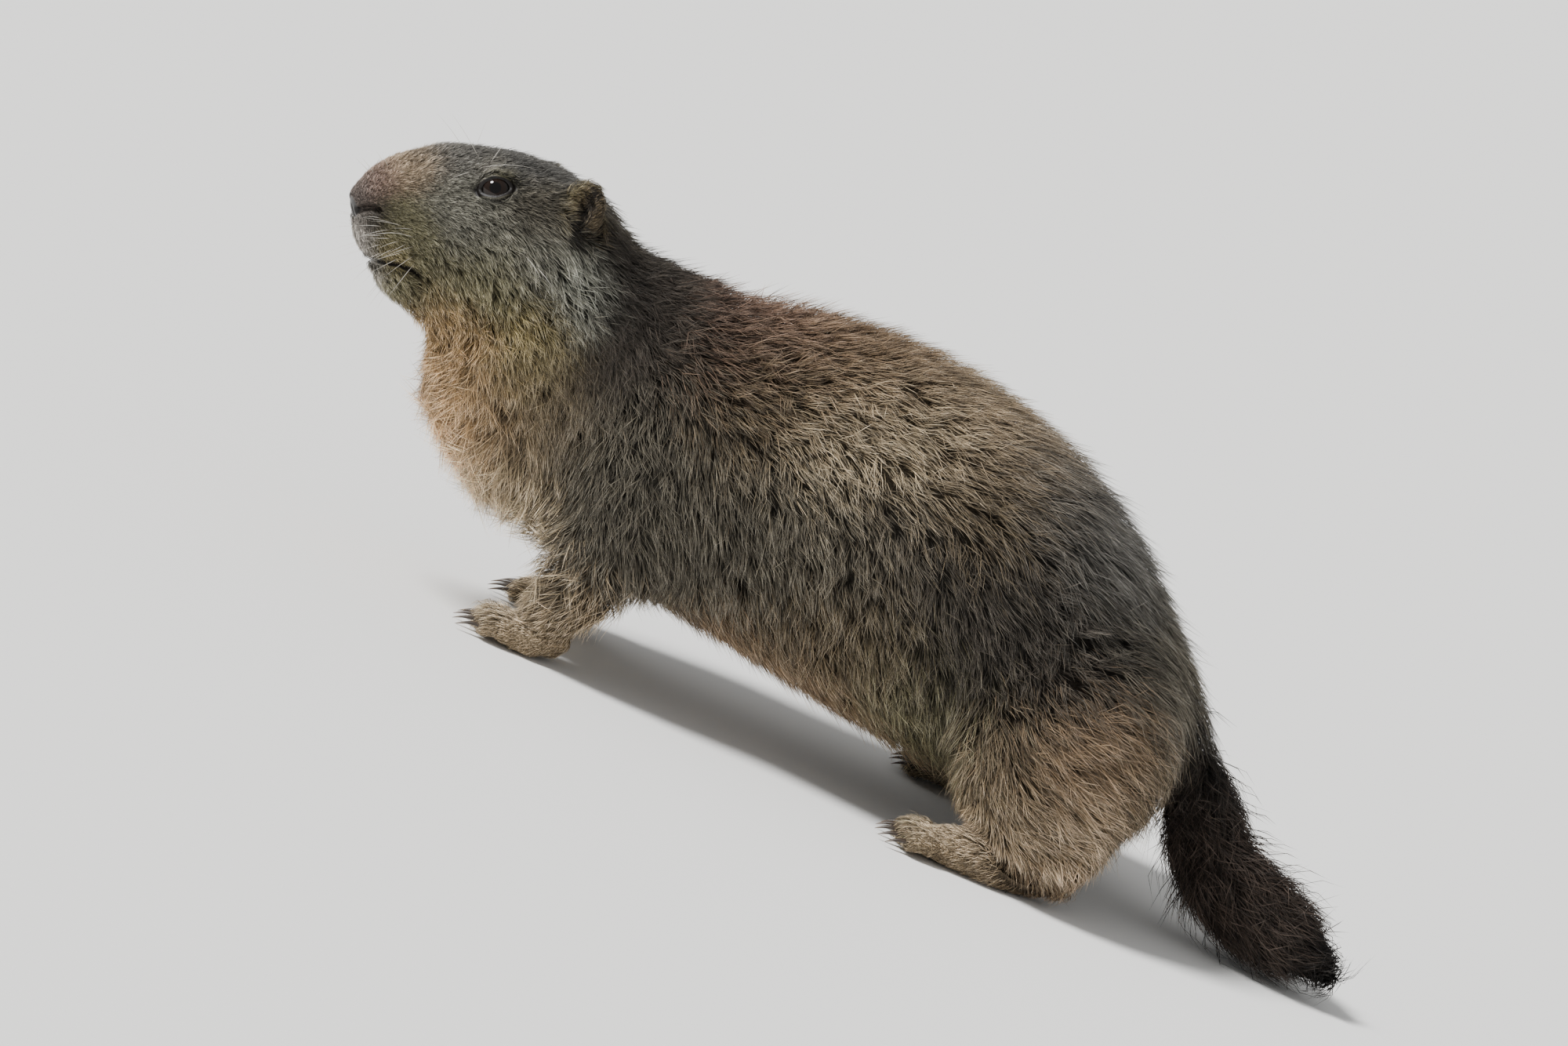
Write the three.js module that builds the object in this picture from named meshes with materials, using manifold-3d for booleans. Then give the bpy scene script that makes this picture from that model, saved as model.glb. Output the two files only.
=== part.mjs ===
// An alpine marmot at life size, standing on all four feet with its neck stretched forward.
// Millimetres. +X is forward, +Y is the animal's left, +Z is up, and the soles stand on Z = 0.
// It is modelled round a point between its shoulders and hips, and is centred on the origin at the end.
import * as THREE from "three";
import { LoftGeometry } from "three/addons/geometries/LoftGeometry.js";
import { mergeVertices } from "three/addons/utils/BufferGeometryUtils.js";
import Module from "manifold-3d";

const wasm = await Module();
wasm.setup();

// Driving dimensions
const GAP = 0.3; // between neighbouring parts
const FLOOR = 0;
const FAR = 300; // further than any cut has to reach

const NOSE_TIP = new THREE.Vector3(288, 38, 152.7);
const HEAD_TURN = 20; // degrees to the left
const HEAD_DIP = 12; // degrees below level
const HEAD_TILT = 10; // degrees, left side up
const HEAD_MESH = [26, 25]; // facets around and along
const MOUTH_MESH = [18, 14];
const TRUNK_MESH = [24, 27];
const LOCK_SINK = 4; // how far a lock's root goes into what it grows from
const SEED = 7;

const EYE_RADIUS = 8;
const LID_THICKNESS = 1.8;
const EYE_OPENING = [6.8, 4.2]; // half its width and half its height
const EAR_SIZE = [4.6, 9.5, 13.5]; // half thickness, half width, half height
const LIP_SLOT = 1.1; // half the height of the groove between the lips
const LIP_DEPTH = 3.5;

const COLORS = {
  crown: [0x7d7568, 0.95],
  chin: [0x8f846c, 0.95],
  neck: [0x75695a, 0.95],
  back: [0x7a6a55, 0.95],
  shoulder: [0x7d6a50, 0.95],
  haunch: [0x94805d, 0.95],
  shin: [0x9a8260, 0.95],
  foot: [0x8d7355, 0.9],
  ear: [0x8a7a5c, 0.95],
  tail: [0x2c2521, 0.95],
  nose: [0x3a3432, 0.6],
  eye: [0x140d08, 0.1],
  claw: [0x2a221c, 0.45],
};

const rad = THREE.MathUtils.degToRad;
const vec = (a) => new THREE.Vector3(...a);

// Solids

// A closed manifold solid from any three.js geometry whose faces close it.
function solid(geometry) {
  const bare = new THREE.BufferGeometry();
  bare.setAttribute("position", geometry.attributes.position);
  bare.setIndex(geometry.index ?? [...Array(geometry.attributes.position.count).keys()]);
  const merged = mergeVertices(bare, 1e-4);
  const index = merged.index.array;
  const faces = [];
  for (let i = 0; i < index.length; i += 3) {
    const [a, b, c] = [index[i], index[i + 1], index[i + 2]];
    if (a !== b && b !== c && a !== c) faces.push(a, b, c);
  }
  const vertProperties = merged.attributes.position.array;
  return new wasm.Manifold(
    new wasm.Mesh({ numProp: 3, vertProperties, triVerts: new Uint32Array(faces) }),
  );
}

// Only the largest closed surface, so that scraps a cut leaves behind are dropped.
function largest(made) {
  return made.decompose().reduce((a, b) => (b.volume() > a.volume() ? b : a));
}

const joined = (solids) => solids.reduce((all, one) => all.add(one));
const cutBy = (made, others) => largest(others.reduce((left, one) => left.subtract(one), made));
const standing = (made) => made.trimByPlane([0, 0, 1], FLOOR);

// The two sides of a plane through a point, with the gap between them: [ahead, behind].
function parted(made, through, normal) {
  const n = vec(normal).normalize();
  const at = n.dot(vec(through));
  return [
    made.trimByPlane(n.toArray(), at + GAP / 2),
    made.trimByPlane(n.clone().negate().toArray(), GAP / 2 - at),
  ];
}

function loft(sections) {
  return solid(new LoftGeometry(sections, { capStart: true, capEnd: true }));
}

// The axes of a piece that points one way, with its own up as near as can be to another.
function axes(forward, upward) {
  const x = vec(forward).normalize();
  const y = new THREE.Vector3().crossVectors(vec(upward), x).normalize();
  return new THREE.Matrix4().makeBasis(x, y, new THREE.Vector3().crossVectors(x, y));
}

function ellipsoid(at, [a, b, c], [around, down], turned = new THREE.Matrix4()) {
  const ball = new THREE.SphereGeometry(1, around, down);
  ball.scale(a, b, c);
  ball.applyMatrix4(turned);
  ball.translate(...at);
  return solid(ball);
}

// A prism through the whole width of the head, from an outline in its middle plane: x forward and y up.
function plate(outline, halfWidth) {
  const settings = { depth: 2 * halfWidth, bevelEnabled: false, curveSegments: 6 };
  const prism = new THREE.ExtrudeGeometry(outline, settings);
  prism.translate(0, 0, -halfWidth);
  prism.rotateX(Math.PI / 2);
  return solid(prism);
}

// A shape has point(t, a, grow), the place on it at share t along and angle a around, and a centre line
// (path). This skins it, with grow millimetres more all over when a neighbour is cut to fit round it.
function skinned(shape, [around, along], grow = 0) {
  const sections = [];
  for (let i = 0; i <= along; i++) {
    const t = i / along;
    const shift = (i === 0 ? -1 : i === along ? 1 : 0) * Math.max(grow, 0);
    const end = shape.path.getTangent(t).multiplyScalar(shift);
    const angles = Array.from({ length: around }, (_, j) => (j / around) * 2 * Math.PI);
    sections.push(angles.map((angle) => shape.point(t, angle, grow).add(end)));
  }
  return loft(sections);
}

// A body form that runs from back to front through named stations. Each station has its centre (at), its
// reach up, down and to the side, and the rise and turn of its section in degrees. Its square is 2 for an
// ellipse and more for a squarer one.
class Form {
  constructor(stations, swells = []) {
    const list = Object.values(stations);
    const spline = (read) => new THREE.CatmullRomCurve3(list.map(read), false, "catmullrom", 0.5);
    this.path = spline((s) => vec(s.at));
    this.sizes = spline((s) => new THREE.Vector3(s.up, s.down ?? s.up, s.side));
    this.turns = spline((s) => new THREE.Vector3(s.rise ?? 0, s.turn ?? 0, s.square ?? 2));
    this.swells = swells;
  }

  // Angle 0 is the left side and a quarter turn is the top.
  point(t, a, grow = 0) {
    const size = this.sizes.getPoint(t);
    const [rise, turn, square] = this.turns.getPoint(t).toArray();
    const bend = (v) => Math.sign(v) * Math.abs(v) ** (2 / square);
    const reach = Math.sin(a) >= 0 ? size.x : size.y;
    const across = (size.z + grow) * bend(Math.cos(a));
    const out = new THREE.Vector3(0, across, (reach + grow) * bend(Math.sin(a)));
    out.applyEuler(new THREE.Euler(0, -rad(rise), rad(turn), "ZYX"));
    const place = this.path.getPoint(t).add(out);
    const way = out.normalize();
    for (const s of this.swells) {
      const far = place.distanceTo(vec(s.at)) / s.reach;
      place.addScaledVector(way, s.rise * Math.exp(-far * far));
    }
    return place;
  }
}

// A limb, toe, claw or tail through points [x, y, z, reach in the middle plane, reach to the side].
class Limb {
  constructor(points) {
    const reaches = points.map((p) => new THREE.Vector3(p[3], p[4] ?? p[3], 0));
    this.path = new THREE.CatmullRomCurve3(points.map((p) => vec(p.slice(0, 3))));
    this.sizes = new THREE.CatmullRomCurve3(reaches, false, "catmullrom", 0.5);
  }

  point(t, a, grow = 0) {
    const way = this.path.getTangent(t);
    const side = new THREE.Vector3(0, 1, 0).addScaledVector(way, -way.y).normalize();
    const front = new THREE.Vector3().crossVectors(way, side);
    const size = this.sizes.getPoint(t);
    const place = this.path.getPoint(t).addScaledVector(side, (size.y + grow) * Math.cos(a));
    return place.addScaledVector(front, (size.x + grow) * Math.sin(a));
  }
}

const limb = (points, mesh, grow) => skinned(new Limb(points), mesh, grow);

// Locks: flat, tapered blades with a low ridge, that bend over the coat along its lie

let seed = SEED;
function random(low, high) {
  seed = (seed * 1664525 + 1013904223) % 2 ** 32;
  return low + (high - low) * (seed / 2 ** 32);
}

// The outward normal of a shape at t and a, and its backward direction along the surface there.
function lieOf(shape, t, a, backward) {
  const step = 0.01;
  const place = shape.point(t, a);
  const ahead = shape.point(Math.min(t + step, 1), a);
  const along = ahead.sub(shape.point(Math.max(t - step, 0), a)).normalize();
  const around = shape.point(t, a + step).sub(place).normalize();
  const normal = new THREE.Vector3().crossVectors(around, along).normalize();
  if (normal.dot(place.clone().sub(shape.path.getPoint(t))) < 0) normal.negate();
  return { place, normal, lie: along.multiplyScalar(backward), around };
}

// One lock at t and a. It is long along the lie, swings by a share of its length to the side, and its tip
// stands lift above the coat.
function lock(shape, t, a, backward, { long, wide, lift, swing = 0 }) {
  const { place, normal, lie, around } = lieOf(shape, t, a, backward);
  const way = lie.addScaledVector(around, swing).normalize();
  const side = new THREE.Vector3().crossVectors(normal, way).normalize();
  const stations = [
    { far: 0, high: -LOCK_SINK, share: 0.85, thick: 1.5 },
    { far: 0.34, high: lift * 0.75, share: 1, thick: 1.7 },
    { far: 0.72, high: lift * 1.05, share: 0.72, thick: 1.2 },
    { far: 1, high: lift, share: 0.1, thick: 0.4 },
  ];
  return loft(
    stations.map(({ far, high, share, thick }) => {
      const centre = place.clone().addScaledVector(way, far * long).addScaledVector(normal, high);
      const edge = (wide * share) / 2;
      return [[edge, -thick / 2], [0, thick], [-edge, -thick / 2]].map(([across, up]) =>
        centre.clone().addScaledVector(side, across).addScaledVector(normal, up),
      );
    }),
  );
}

// Locks in staggered rows over part of a shape: rows from t[0] to t[1], each between the two angles of
// a(along).
function coat(shape, { rows, perRow, t, a, backward, size }) {
  const locks = [];
  for (let i = 0; i < rows; i++) {
    const along = i / (rows - 1);
    const [low, high] = a(along);
    for (let j = 0; j < perRow; j++) {
      const across = (j + 0.5 + (i % 2 ? 0.25 : -0.25) + random(-0.12, 0.12)) / perRow;
      const vary = random(0.88, 1.12);
      const { long, wide, lift, swing = 0 } = size(along, across);
      const angle = low + (high - low) * across;
      const lockSize = {
        long: long * vary,
        wide,
        lift: lift * vary,
        swing: swing + random(-0.12, 0.12),
      };
      locks.push(lock(shape, t[0] + (t[1] - t[0]) * along, angle, backward, lockSize));
    }
  }
  return joined(locks);
}

const model = new THREE.Group();

function add(name, made, [color, roughness]) {
  const mesh = made.getMesh();
  const geometry = new THREE.BufferGeometry();
  geometry.setAttribute("position", new THREE.BufferAttribute(mesh.vertProperties, 3));
  geometry.setIndex(new THREE.BufferAttribute(mesh.triVerts, 1));
  geometry.computeVertexNormals();
  const material = new THREE.MeshStandardMaterial({ color, roughness, metalness: 0 });
  const piece = new THREE.Mesh(geometry, material);
  piece.name = name;
  model.add(piece);
}

const SIDES = { left: 1, right: -1 };

// Head, in its own frame: the nose tip is the origin and +X is the way it faces
const headForm = new Form(
  {
    back: { at: [-130, 0, -12], up: 14, down: 19, side: 19 },
    occiput: { at: [-121, 0, -10], up: 27, down: 33, side: 32 },
    ears: { at: [-106, 0, -8], up: 35, down: 40, side: 41 },
    jaw: { at: [-90, 0, -7], up: 39.5, down: 43, side: 43 },
    cheeks: { at: [-71, 0, -7], up: 42.5, down: 43, side: 39 },
    eyes: { at: [-53, 0, -8], up: 43.5, down: 42, side: 32 },
    muzzle: { at: [-36, 0, -8], up: 42, down: 41, side: 27 },
    chin: { at: [-23, 0, -5], up: 33.5, down: 36, side: 23 },
    lips: { at: [-13, 0, -1], up: 24, down: 25.5, side: 20, square: 2.1 },
    nose: { at: [-5.5, 0, 1], up: 15.5, down: 16.5, side: 14.5, square: 2.2 },
    tip: { at: [-1.2, 0, 2], up: 7.5, down: 7.5, side: 8, square: 2.2 },
  },
  Object.values(SIDES).flatMap((s) => [
    { at: [-78, 41 * s, -18], reach: 22, rise: 3 }, // cheek
    { at: [-58, 26 * s, 18.5], reach: 11, rise: -3 }, // eye socket
    { at: [-55, 23 * s, 30.5], reach: 9, rise: 2 }, // brow
    { at: [-20, 21 * s, -9], reach: 11, rise: 2.5 }, // whisker pad
    { at: [-36, 25 * s, 9], reach: 12, rise: -2 }, // hollow in front of the eye
  ]),
);
const headPlace = new THREE.Matrix4().compose(
  NOSE_TIP,
  new THREE.Quaternion().setFromEuler(new THREE.Euler(...[HEAD_TILT, HEAD_DIP, HEAD_TURN].map(rad), "ZYX")),
  new THREE.Vector3(1, 1, 1),
);
const onBody = (made) => made.transform(headPlace.elements);
const headWhole = skinned(headForm, HEAD_MESH);
const headGrown = skinned(headForm, HEAD_MESH, GAP);

// Lips: the mouth line from the front to its corner, and from there the seam of the lower jaw
const MOUTH = [[-6, -24], [-13, -23.4], [-22, -22.6], [-28, -24], [-33, -26.5]];
const JAW_SEAM = [[-58, -43], [-84, -66]];
const flat = (points) => points.map(([x, z]) => new THREE.Vector2(x, z));

function jawRegion() {
  const outline = new THREE.Shape();
  outline.moveTo(20, MOUTH[0][1]);
  outline.lineTo(...MOUTH[0]);
  outline.splineThru(flat(MOUTH.slice(1)));
  for (const point of JAW_SEAM) outline.lineTo(...point);
  outline.lineTo(JAW_SEAM[1][0], -FAR);
  outline.lineTo(20, -FAR);
  return outline;
}

function lipSlot() {
  const half = (i) => LIP_SLOT * (1 - i / MOUTH.length);
  const shifted = (by) => MOUTH.slice(0, -1).map(([x, z], i) => [x, z + by * half(i)]);
  const outline = new THREE.Shape();
  outline.moveTo(20, MOUTH[0][1] + LIP_SLOT);
  outline.splineThru(flat([...shifted(1), MOUTH.at(-1)]));
  outline.splineThru(flat(shifted(-1).reverse()));
  outline.lineTo(20, MOUTH[0][1] - LIP_SLOT);
  return plate(outline, FAR).subtract(skinned(headForm, MOUTH_MESH, -LIP_DEPTH));
}

// Eyes: a ball in a socket, with lids that stand on the ball round an almond opening
const EYE_AT = [-59.4, 18.8, 16.8];
const EYE_FACES = [0.25, 0.9, 0.34];
const EYE_CORNERS = [-0.94, 0.23, 0.27]; // from the front corner to the back one

const sided = ([x, y, z], s) => [x, y * s, z];

function eyeBall(s, grow = 0) {
  const sizes = Array(3).fill(EYE_RADIUS + grow);
  return ellipsoid(sided(EYE_AT, s), sizes, [12, 8], axes(sided(EYE_FACES, s), [0, 0, 1]));
}

function eyeOpening(s) {
  const [wide, high] = EYE_OPENING;
  const outline = new THREE.Shape();
  outline.moveTo(-wide, -0.5);
  outline.bezierCurveTo(-wide * 0.45, high * 1.35, wide * 0.5, high * 1.35, wide, 0.6);
  outline.bezierCurveTo(wide * 0.5, -high * 1.35, -wide * 0.4, -high * 1.35, -wide, -0.5);
  const prism = new THREE.ExtrudeGeometry(outline, { depth: 16, bevelEnabled: false, curveSegments: 6 });
  prism.translate(0, 0, 3);
  const out = vec(sided(EYE_FACES, s)).normalize();
  const across = vec(sided(EYE_CORNERS, s)).multiplyScalar(-1);
  across.addScaledVector(out, -across.dot(out)).normalize();
  const above = new THREE.Vector3().crossVectors(out, across);
  prism.applyMatrix4(new THREE.Matrix4().makeBasis(across, above, out));
  prism.translate(...sided(EYE_AT, s));
  return solid(prism);
}

// Nose: a low pad between two comma-shaped nostrils, with a cleft down to the lip
const NOSE_AT = [-5, 0, 2.6];
const nosePad = (grow = 0) => ellipsoid(NOSE_AT, [7, 12.5, 9].map((r) => r + grow), [14, 7]);
const nostril = (s) =>
  ellipsoid([-5, 9.6 * s, 1], [5.2, 2.2, 2.4], [8, 6], axes([-0.72, 0.68 * s, 0.12], [0, 0, 1]));
const cleft = limb([[0.5, 0, -2, 1.2], [-1.5, 0, -9, 1.2], [-6.5, 0, -18, 1.3], [-9, 0, -25, 1.2]], [6, 5]);

// Ears: rounded cups that face forward and out
const EAR_AT = [-98, 35.5, 16];
const EAR_RISES = [-0.3, -0.16, 0.94];
const EAR_FACES = [0.6, 0.78, 0.2];

function ear(s) {
  const turned = axes(sided(EAR_FACES, s), sided(EAR_RISES, s));
  const out = vec(sided(EAR_FACES, s)).normalize();
  const [thick, wide, high] = EAR_SIZE;
  const shell = ellipsoid(sided(EAR_AT, s), EAR_SIZE, [14, 8], turned);
  const hollowAt = vec(sided(EAR_AT, s)).addScaledVector(out, thick * 0.75);
  const hollow = ellipsoid(hollowAt.toArray(), [thick, wide * 0.72, high * 0.74], [10, 7], turned);
  return shell.subtract(hollow);
}

// Cheek ruffs: locks that sweep back over the neck
const ruffs = Object.values(SIDES).map((s) =>
  coat(headForm, {
    rows: 2,
    perRow: 3,
    t: [0.24, 0.36],
    a: () => (s > 0 ? [rad(-52), rad(8)] : [rad(232), rad(172)]),
    backward: -1,
    size: () => ({ long: 19, wide: 13, lift: 3.2, swing: -0.35 * s }),
  }),
);

const lidBalls = Object.values(SIDES).map((s) => eyeBall(s, LID_THICKNESS));
const openings = Object.values(SIDES).flatMap((s) => [eyeBall(s, GAP), eyeOpening(s)]);
const nostrils = joined(Object.values(SIDES).map(nostril));
const jaw = jawRegion();
const jawSolid = plate(jaw, FAR);
const jawGrown = jawSolid.translate([-0.2, 0, GAP]);
const lips = lipSlot();

const faceCuts = [jawGrown, lips, cleft, nosePad(GAP), nostrils, ...openings];
const headCut = cutBy(joined([headWhole, ...lidBalls]), faceCuts);
add("lower_jaw", onBody(cutBy(headWhole.intersect(jawSolid), [lips])), COLORS.chin);
add("nose", onBody(cutBy(nosePad(), [nostrils])), COLORS.nose);
for (const [name, s] of Object.entries(SIDES)) {
  add("eye_" + name, onBody(eyeBall(s)), COLORS.eye);
  add("ear_" + name, onBody(cutBy(ear(s), [headGrown])), COLORS.ear);
}

// Trunk: rump, belly, ribs, chest and neck in one form, parted at the shoulders
const trunk = new Form(
  {
    tailhead: { at: [-163, 0, 76], up: 10, down: 14, side: 14, rise: 36 },
    rump: { at: [-146, 0, 78], up: 27, down: 40, side: 42, rise: 28 },
    croup: { at: [-116, 0, 86], up: 46, down: 54, side: 62, rise: 19 },
    loin: { at: [-70, 0, 97], up: 73, down: 74, side: 75, rise: 10, square: 2.1 },
    belly: { at: [-10, 0, 106], up: 88, down: 78, side: 79, rise: 3, square: 2.15 },
    ribs: { at: [50, 0, 108], up: 88, down: 73, side: 73, rise: 0, square: 2.1 },
    chest: { at: [98, 0, 108], up: 81, down: 68, side: 63, rise: 6 },
    shoulders: { at: [133, 1, 116], up: 71, down: 73, side: 57, rise: 19, turn: 3 },
    neck: { at: [162, 3, 131], up: 56, down: 73, side: 49, rise: 25, turn: 7 },
    throat: { at: [184, 6, 147], up: 38, down: 77, side: 42, rise: 24, turn: 12 },
    nape: { at: [204, 12, 160], up: 30, down: 71, side: 34, rise: 21, turn: 17 },
    gullet: { at: [212, 15, 158], up: 18, down: 56, side: 24, rise: 24, turn: 18 },
  },
  Object.values(SIDES).map((s) => ({ at: [108, 58 * s, 96], reach: 42, rise: 5 })), // shoulder
);
const headOnBody = onBody(headGrown);
const NECK_SEAM = { through: [150, 0, 120], normal: [0.93, 0.05, 0.37] };
const trunkGrown = skinned(trunk, TRUNK_MESH, GAP);
// Degrees to each side of the middle between the fore legs, and how many more at the throat
const BIB_SPREAD = [34, 31];
const bib = coat(trunk, {
  rows: 5,
  perRow: 6,
  t: [0.665, 0.95],
  a: (along) => {
    const spread = BIB_SPREAD[0] + BIB_SPREAD[1] * along;
    return [rad(-90 - spread), rad(-90 + spread)];
  },
  backward: -1,
  size: (along, across) => ({
    long: 29 - 7 * along,
    wide: 15 + 6 * along,
    lift: 6 - 1.5 * along,
    swing: 0.5 * (across - 0.5),
  }),
});
const [neck, torso] = parted(skinned(trunk, TRUNK_MESH), NECK_SEAM.through, NECK_SEAM.normal);
const [neckBib, chestBib] = parted(bib, NECK_SEAM.through, NECK_SEAM.normal);
const ruff = onBody(joined(ruffs)).subtract(trunkGrown).subtract(bib);
add("head", largest(onBody(headCut).add(ruff)), COLORS.crown);
add("neck", cutBy(neck.add(neckBib), [headOnBody]), COLORS.neck);
add("torso", largest(torso.add(chestBib)), COLORS.back);

// Feet: a pad with toes that end in claws, on a flat sole
const FEET = {
  fore: {
    toes: { count: 4, length: 16, thick: 4.8, spread: 7.2, claw: 12 },
    pad: [[-17, 11, 10, 10], [-6, 9, 12, 14], [8, 7, 10, 15], [17, 5, 5, 11]],
  },
  hind: {
    toes: { count: 5, length: 18, thick: 4.8, spread: 6.8, claw: 10 },
    pad: [[-46, 10, 9, 9], [-28, 11, 14, 13], [0, 9, 12, 15], [18, 7, 9, 16], [28, 5, 5, 12]],
  },
};

// The toes and claws of a foot, in the foot's frame: its middle on the floor and +X ahead.
function toes({ count, length, thick, spread, claw }, padFront) {
  const edge = padFront - 6;
  return Array.from({ length: count }, (_, i) => {
    const off = i - (count - 1) / 2;
    const long = length * (1 - 0.055 * off * off);
    const at = (far, height) => [edge + far, off * (spread + 0.07 * far), height];
    const knuckles = [[0, 6, 1], [0.45, 8.5, 1.05], [0.85, 5.2, 1], [1, 5, 0.55]];
    const digit = knuckles.map(([far, height, share]) => [...at(far * long, height), share * thick]);
    const horn = [[2 * GAP, 5, 2.4, 1.7], [claw * 0.45, 5, 1.8, 1.2], [claw * 0.86, 1.5, 0.7, 0.5]];
    const nail = horn.map(([far, height, ...reach]) => [...at(long + far, height), ...reach]);
    return { digit: limb(digit, [5, 4]), nail: limb(nail, [5, 3]) };
  });
}

const LEGS = {
  fore: {
    upper: [
      [116, 44, 124, 20, 14],
      [113, 50, 102, 32, 19],
      [107, 52, 76, 31, 20],
      [104, 51, 60, 26, 19],
      [102, 50, 48, 14, 12],
    ],
    lower: [
      [114, 49, 66, 20, 15],
      [121, 48, 52, 26, 19],
      [127, 45, 36, 22, 17],
      [130, 43, 20, 16, 14],
      [129, 43, 10, 12, 12],
    ],
    foot: [132, 43],
    heading: 4,
    names: ["upper_arm_", "forearm_", "forefoot_"],
  },
  hind: {
    upper: [
      [-124, 42, 120, 16, 10],
      [-119, 52, 98, 40, 24],
      [-111, 58, 72, 48, 28],
      [-103, 62, 50, 46, 26],
      [-97, 65, 32, 38, 21],
      [-94, 66, 20, 22, 12],
    ],
    lower: [
      [-86, 66, 28, 14, 12],
      [-104, 66, 25, 22, 18],
      [-124, 65, 22, 20, 16],
      [-138, 64, 15, 12, 11],
    ],
    foot: [-92, 68],
    heading: 8,
    names: ["thigh_", "shin_", "hind_foot_"],
  },
};
// The far legs stand a little further back or forward than the near ones.
const STEP = { fore: { left: 0, right: -7 }, hind: { left: 0, right: 5 } };

// Long hairs at the back of the thigh, kept clear of the pieces round it
function haunchFringe(thigh, s, neighbours) {
  const locks = coat(thigh, {
    rows: 2,
    perRow: 3,
    t: [0.42, 0.62],
    a: () => (s > 0 ? [rad(-75), rad(-5)] : [rad(255), rad(185)]),
    backward: 1,
    size: () => ({ long: 27, wide: 19, lift: 3.5, swing: -0.5 * s }),
  });
  return neighbours.reduce((left, one) => left.subtract(one), locks);
}

for (const [kind, leg] of Object.entries(LEGS)) {
  for (const [name, s] of Object.entries(SIDES)) {
    const step = STEP[kind][name];
    const at = (points) => points.map(([x, y, ...rest]) => [x + step, y * s, ...rest]);
    const place = new THREE.Matrix4()
      .makeTranslation(leg.foot[0] + step, leg.foot[1] * s, 0)
      .multiply(new THREE.Matrix4().makeRotationZ(rad(leg.heading * s)));
    const upperShape = new Limb(at(leg.upper));
    const upper = (grow) => skinned(upperShape, [14, 9], grow);
    const lower = (grow) => limb(at(leg.lower), [12, 7], grow);
    const padPoints = FEET[kind].pad.map(([x, z, high, wide]) => [x, 0, z, high, wide]);
    const pad = limb(padPoints, [10, 4]);
    const padGrown = limb(padPoints, [10, 4], GAP).transform(place.elements);
    const digits = toes(FEET[kind].toes, padPoints.at(-1)[0]);
    const foot = standing(joined([pad, ...digits.map((one) => one.digit)]).transform(place.elements));
    const [upperName, lowerName, footName] = leg.names.map((word) => word + name);
    const besides = [trunkGrown, lower(GAP), padGrown];
    const fringe = kind === "hind" ? [haunchFringe(upperShape, s, besides)] : [];
    const muscle = cutBy(upper(), [trunkGrown]);
    add(upperName, largest(joined([muscle, ...fringe])), COLORS[kind === "fore" ? "shoulder" : "haunch"]);
    add(lowerName, cutBy(standing(lower()), [trunkGrown, upper(GAP)]), COLORS.shin);
    add(footName, cutBy(foot, [upper(GAP), lower(GAP), trunkGrown]), COLORS.foot);
    for (const [i, { nail }] of digits.entries()) {
      add(`claw_${kind}_${name}_${i + 1}`, nail.transform(place.elements), COLORS.claw);
    }
  }
}

// Tail: laid along the floor, in a root and a brush of locks
const tailShape = new Limb([
  [-150, 0, 84, 15],
  [-166, 0, 70, 18],
  [-179, 1, 50, 20],
  [-197, 4, 32, 20],
  [-222, 8, 23, 19],
  [-243, 11, 19, 14],
  [-256, 13, 17, 6],
]);
const TAIL_SEAM = { through: [-178, 0, 52], normal: [0.6, -0.05, 0.8] };
const brush = coat(tailShape, {
  rows: 5,
  perRow: 5,
  t: [0.4, 0.92],
  a: () => [0, 2 * Math.PI],
  backward: 1,
  size: (along) => ({ long: 34, wide: 25 - 10 * along, lift: 5 - 2.5 * along }),
});
const [tailRoot, tailBrush] = parted(skinned(tailShape, [12, 12]), TAIL_SEAM.through, TAIL_SEAM.normal);
const [, brushLocks] = parted(brush, TAIL_SEAM.through, TAIL_SEAM.normal);
add("tail_root", cutBy(standing(tailRoot), [trunkGrown]), COLORS.tail);
add("tail_brush", largest(standing(tailBrush.add(brushLocks))), COLORS.tail);

const middle = new THREE.Box3().setFromObject(model).getCenter(new THREE.Vector3());
model.position.set(-middle.x, -middle.y, 0);

export default model;
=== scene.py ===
"""An alpine marmot at life size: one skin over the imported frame, its coat in tufts, eyes, claws and whiskers.

Places on the body are written in the frame's own axes, in millimetres: +X forward, +Y the animal's left,
+Z up, the soles on Z = 0. Places on the head are written in the head's frame, also in millimetres: the nose
tip is its origin, +X the way the nose points, +Y left and +Z up.
"""
import math

import bmesh
import bpy
import numpy as np
from mathutils import Matrix, Vector, kdtree
from mathutils.bvhtree import BVHTree


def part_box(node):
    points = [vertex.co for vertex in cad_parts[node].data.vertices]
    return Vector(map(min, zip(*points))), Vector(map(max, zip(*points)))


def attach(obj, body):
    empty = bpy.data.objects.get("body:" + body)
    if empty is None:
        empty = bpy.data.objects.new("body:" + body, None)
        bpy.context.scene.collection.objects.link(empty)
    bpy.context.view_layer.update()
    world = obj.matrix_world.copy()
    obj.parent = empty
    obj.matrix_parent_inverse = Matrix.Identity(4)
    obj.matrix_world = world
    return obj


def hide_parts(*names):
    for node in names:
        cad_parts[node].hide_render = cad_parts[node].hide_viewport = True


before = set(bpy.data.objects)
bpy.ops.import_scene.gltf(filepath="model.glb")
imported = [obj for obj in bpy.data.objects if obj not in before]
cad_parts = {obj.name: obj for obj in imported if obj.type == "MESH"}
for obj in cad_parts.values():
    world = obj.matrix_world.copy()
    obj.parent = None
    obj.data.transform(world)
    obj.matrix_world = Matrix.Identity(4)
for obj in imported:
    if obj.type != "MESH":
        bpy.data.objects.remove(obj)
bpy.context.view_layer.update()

MM = 0.001
BODY = "root"
SEED = 11
UP = np.array([0.0, 0.0, 1.0])
SIDES = {"left": 1, "right": -1}
NODES = sorted(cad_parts)
CLAWS = [name for name in NODES if name.startswith("claw_")]
EYES = [name for name in NODES if name.startswith("eye_")]
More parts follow.
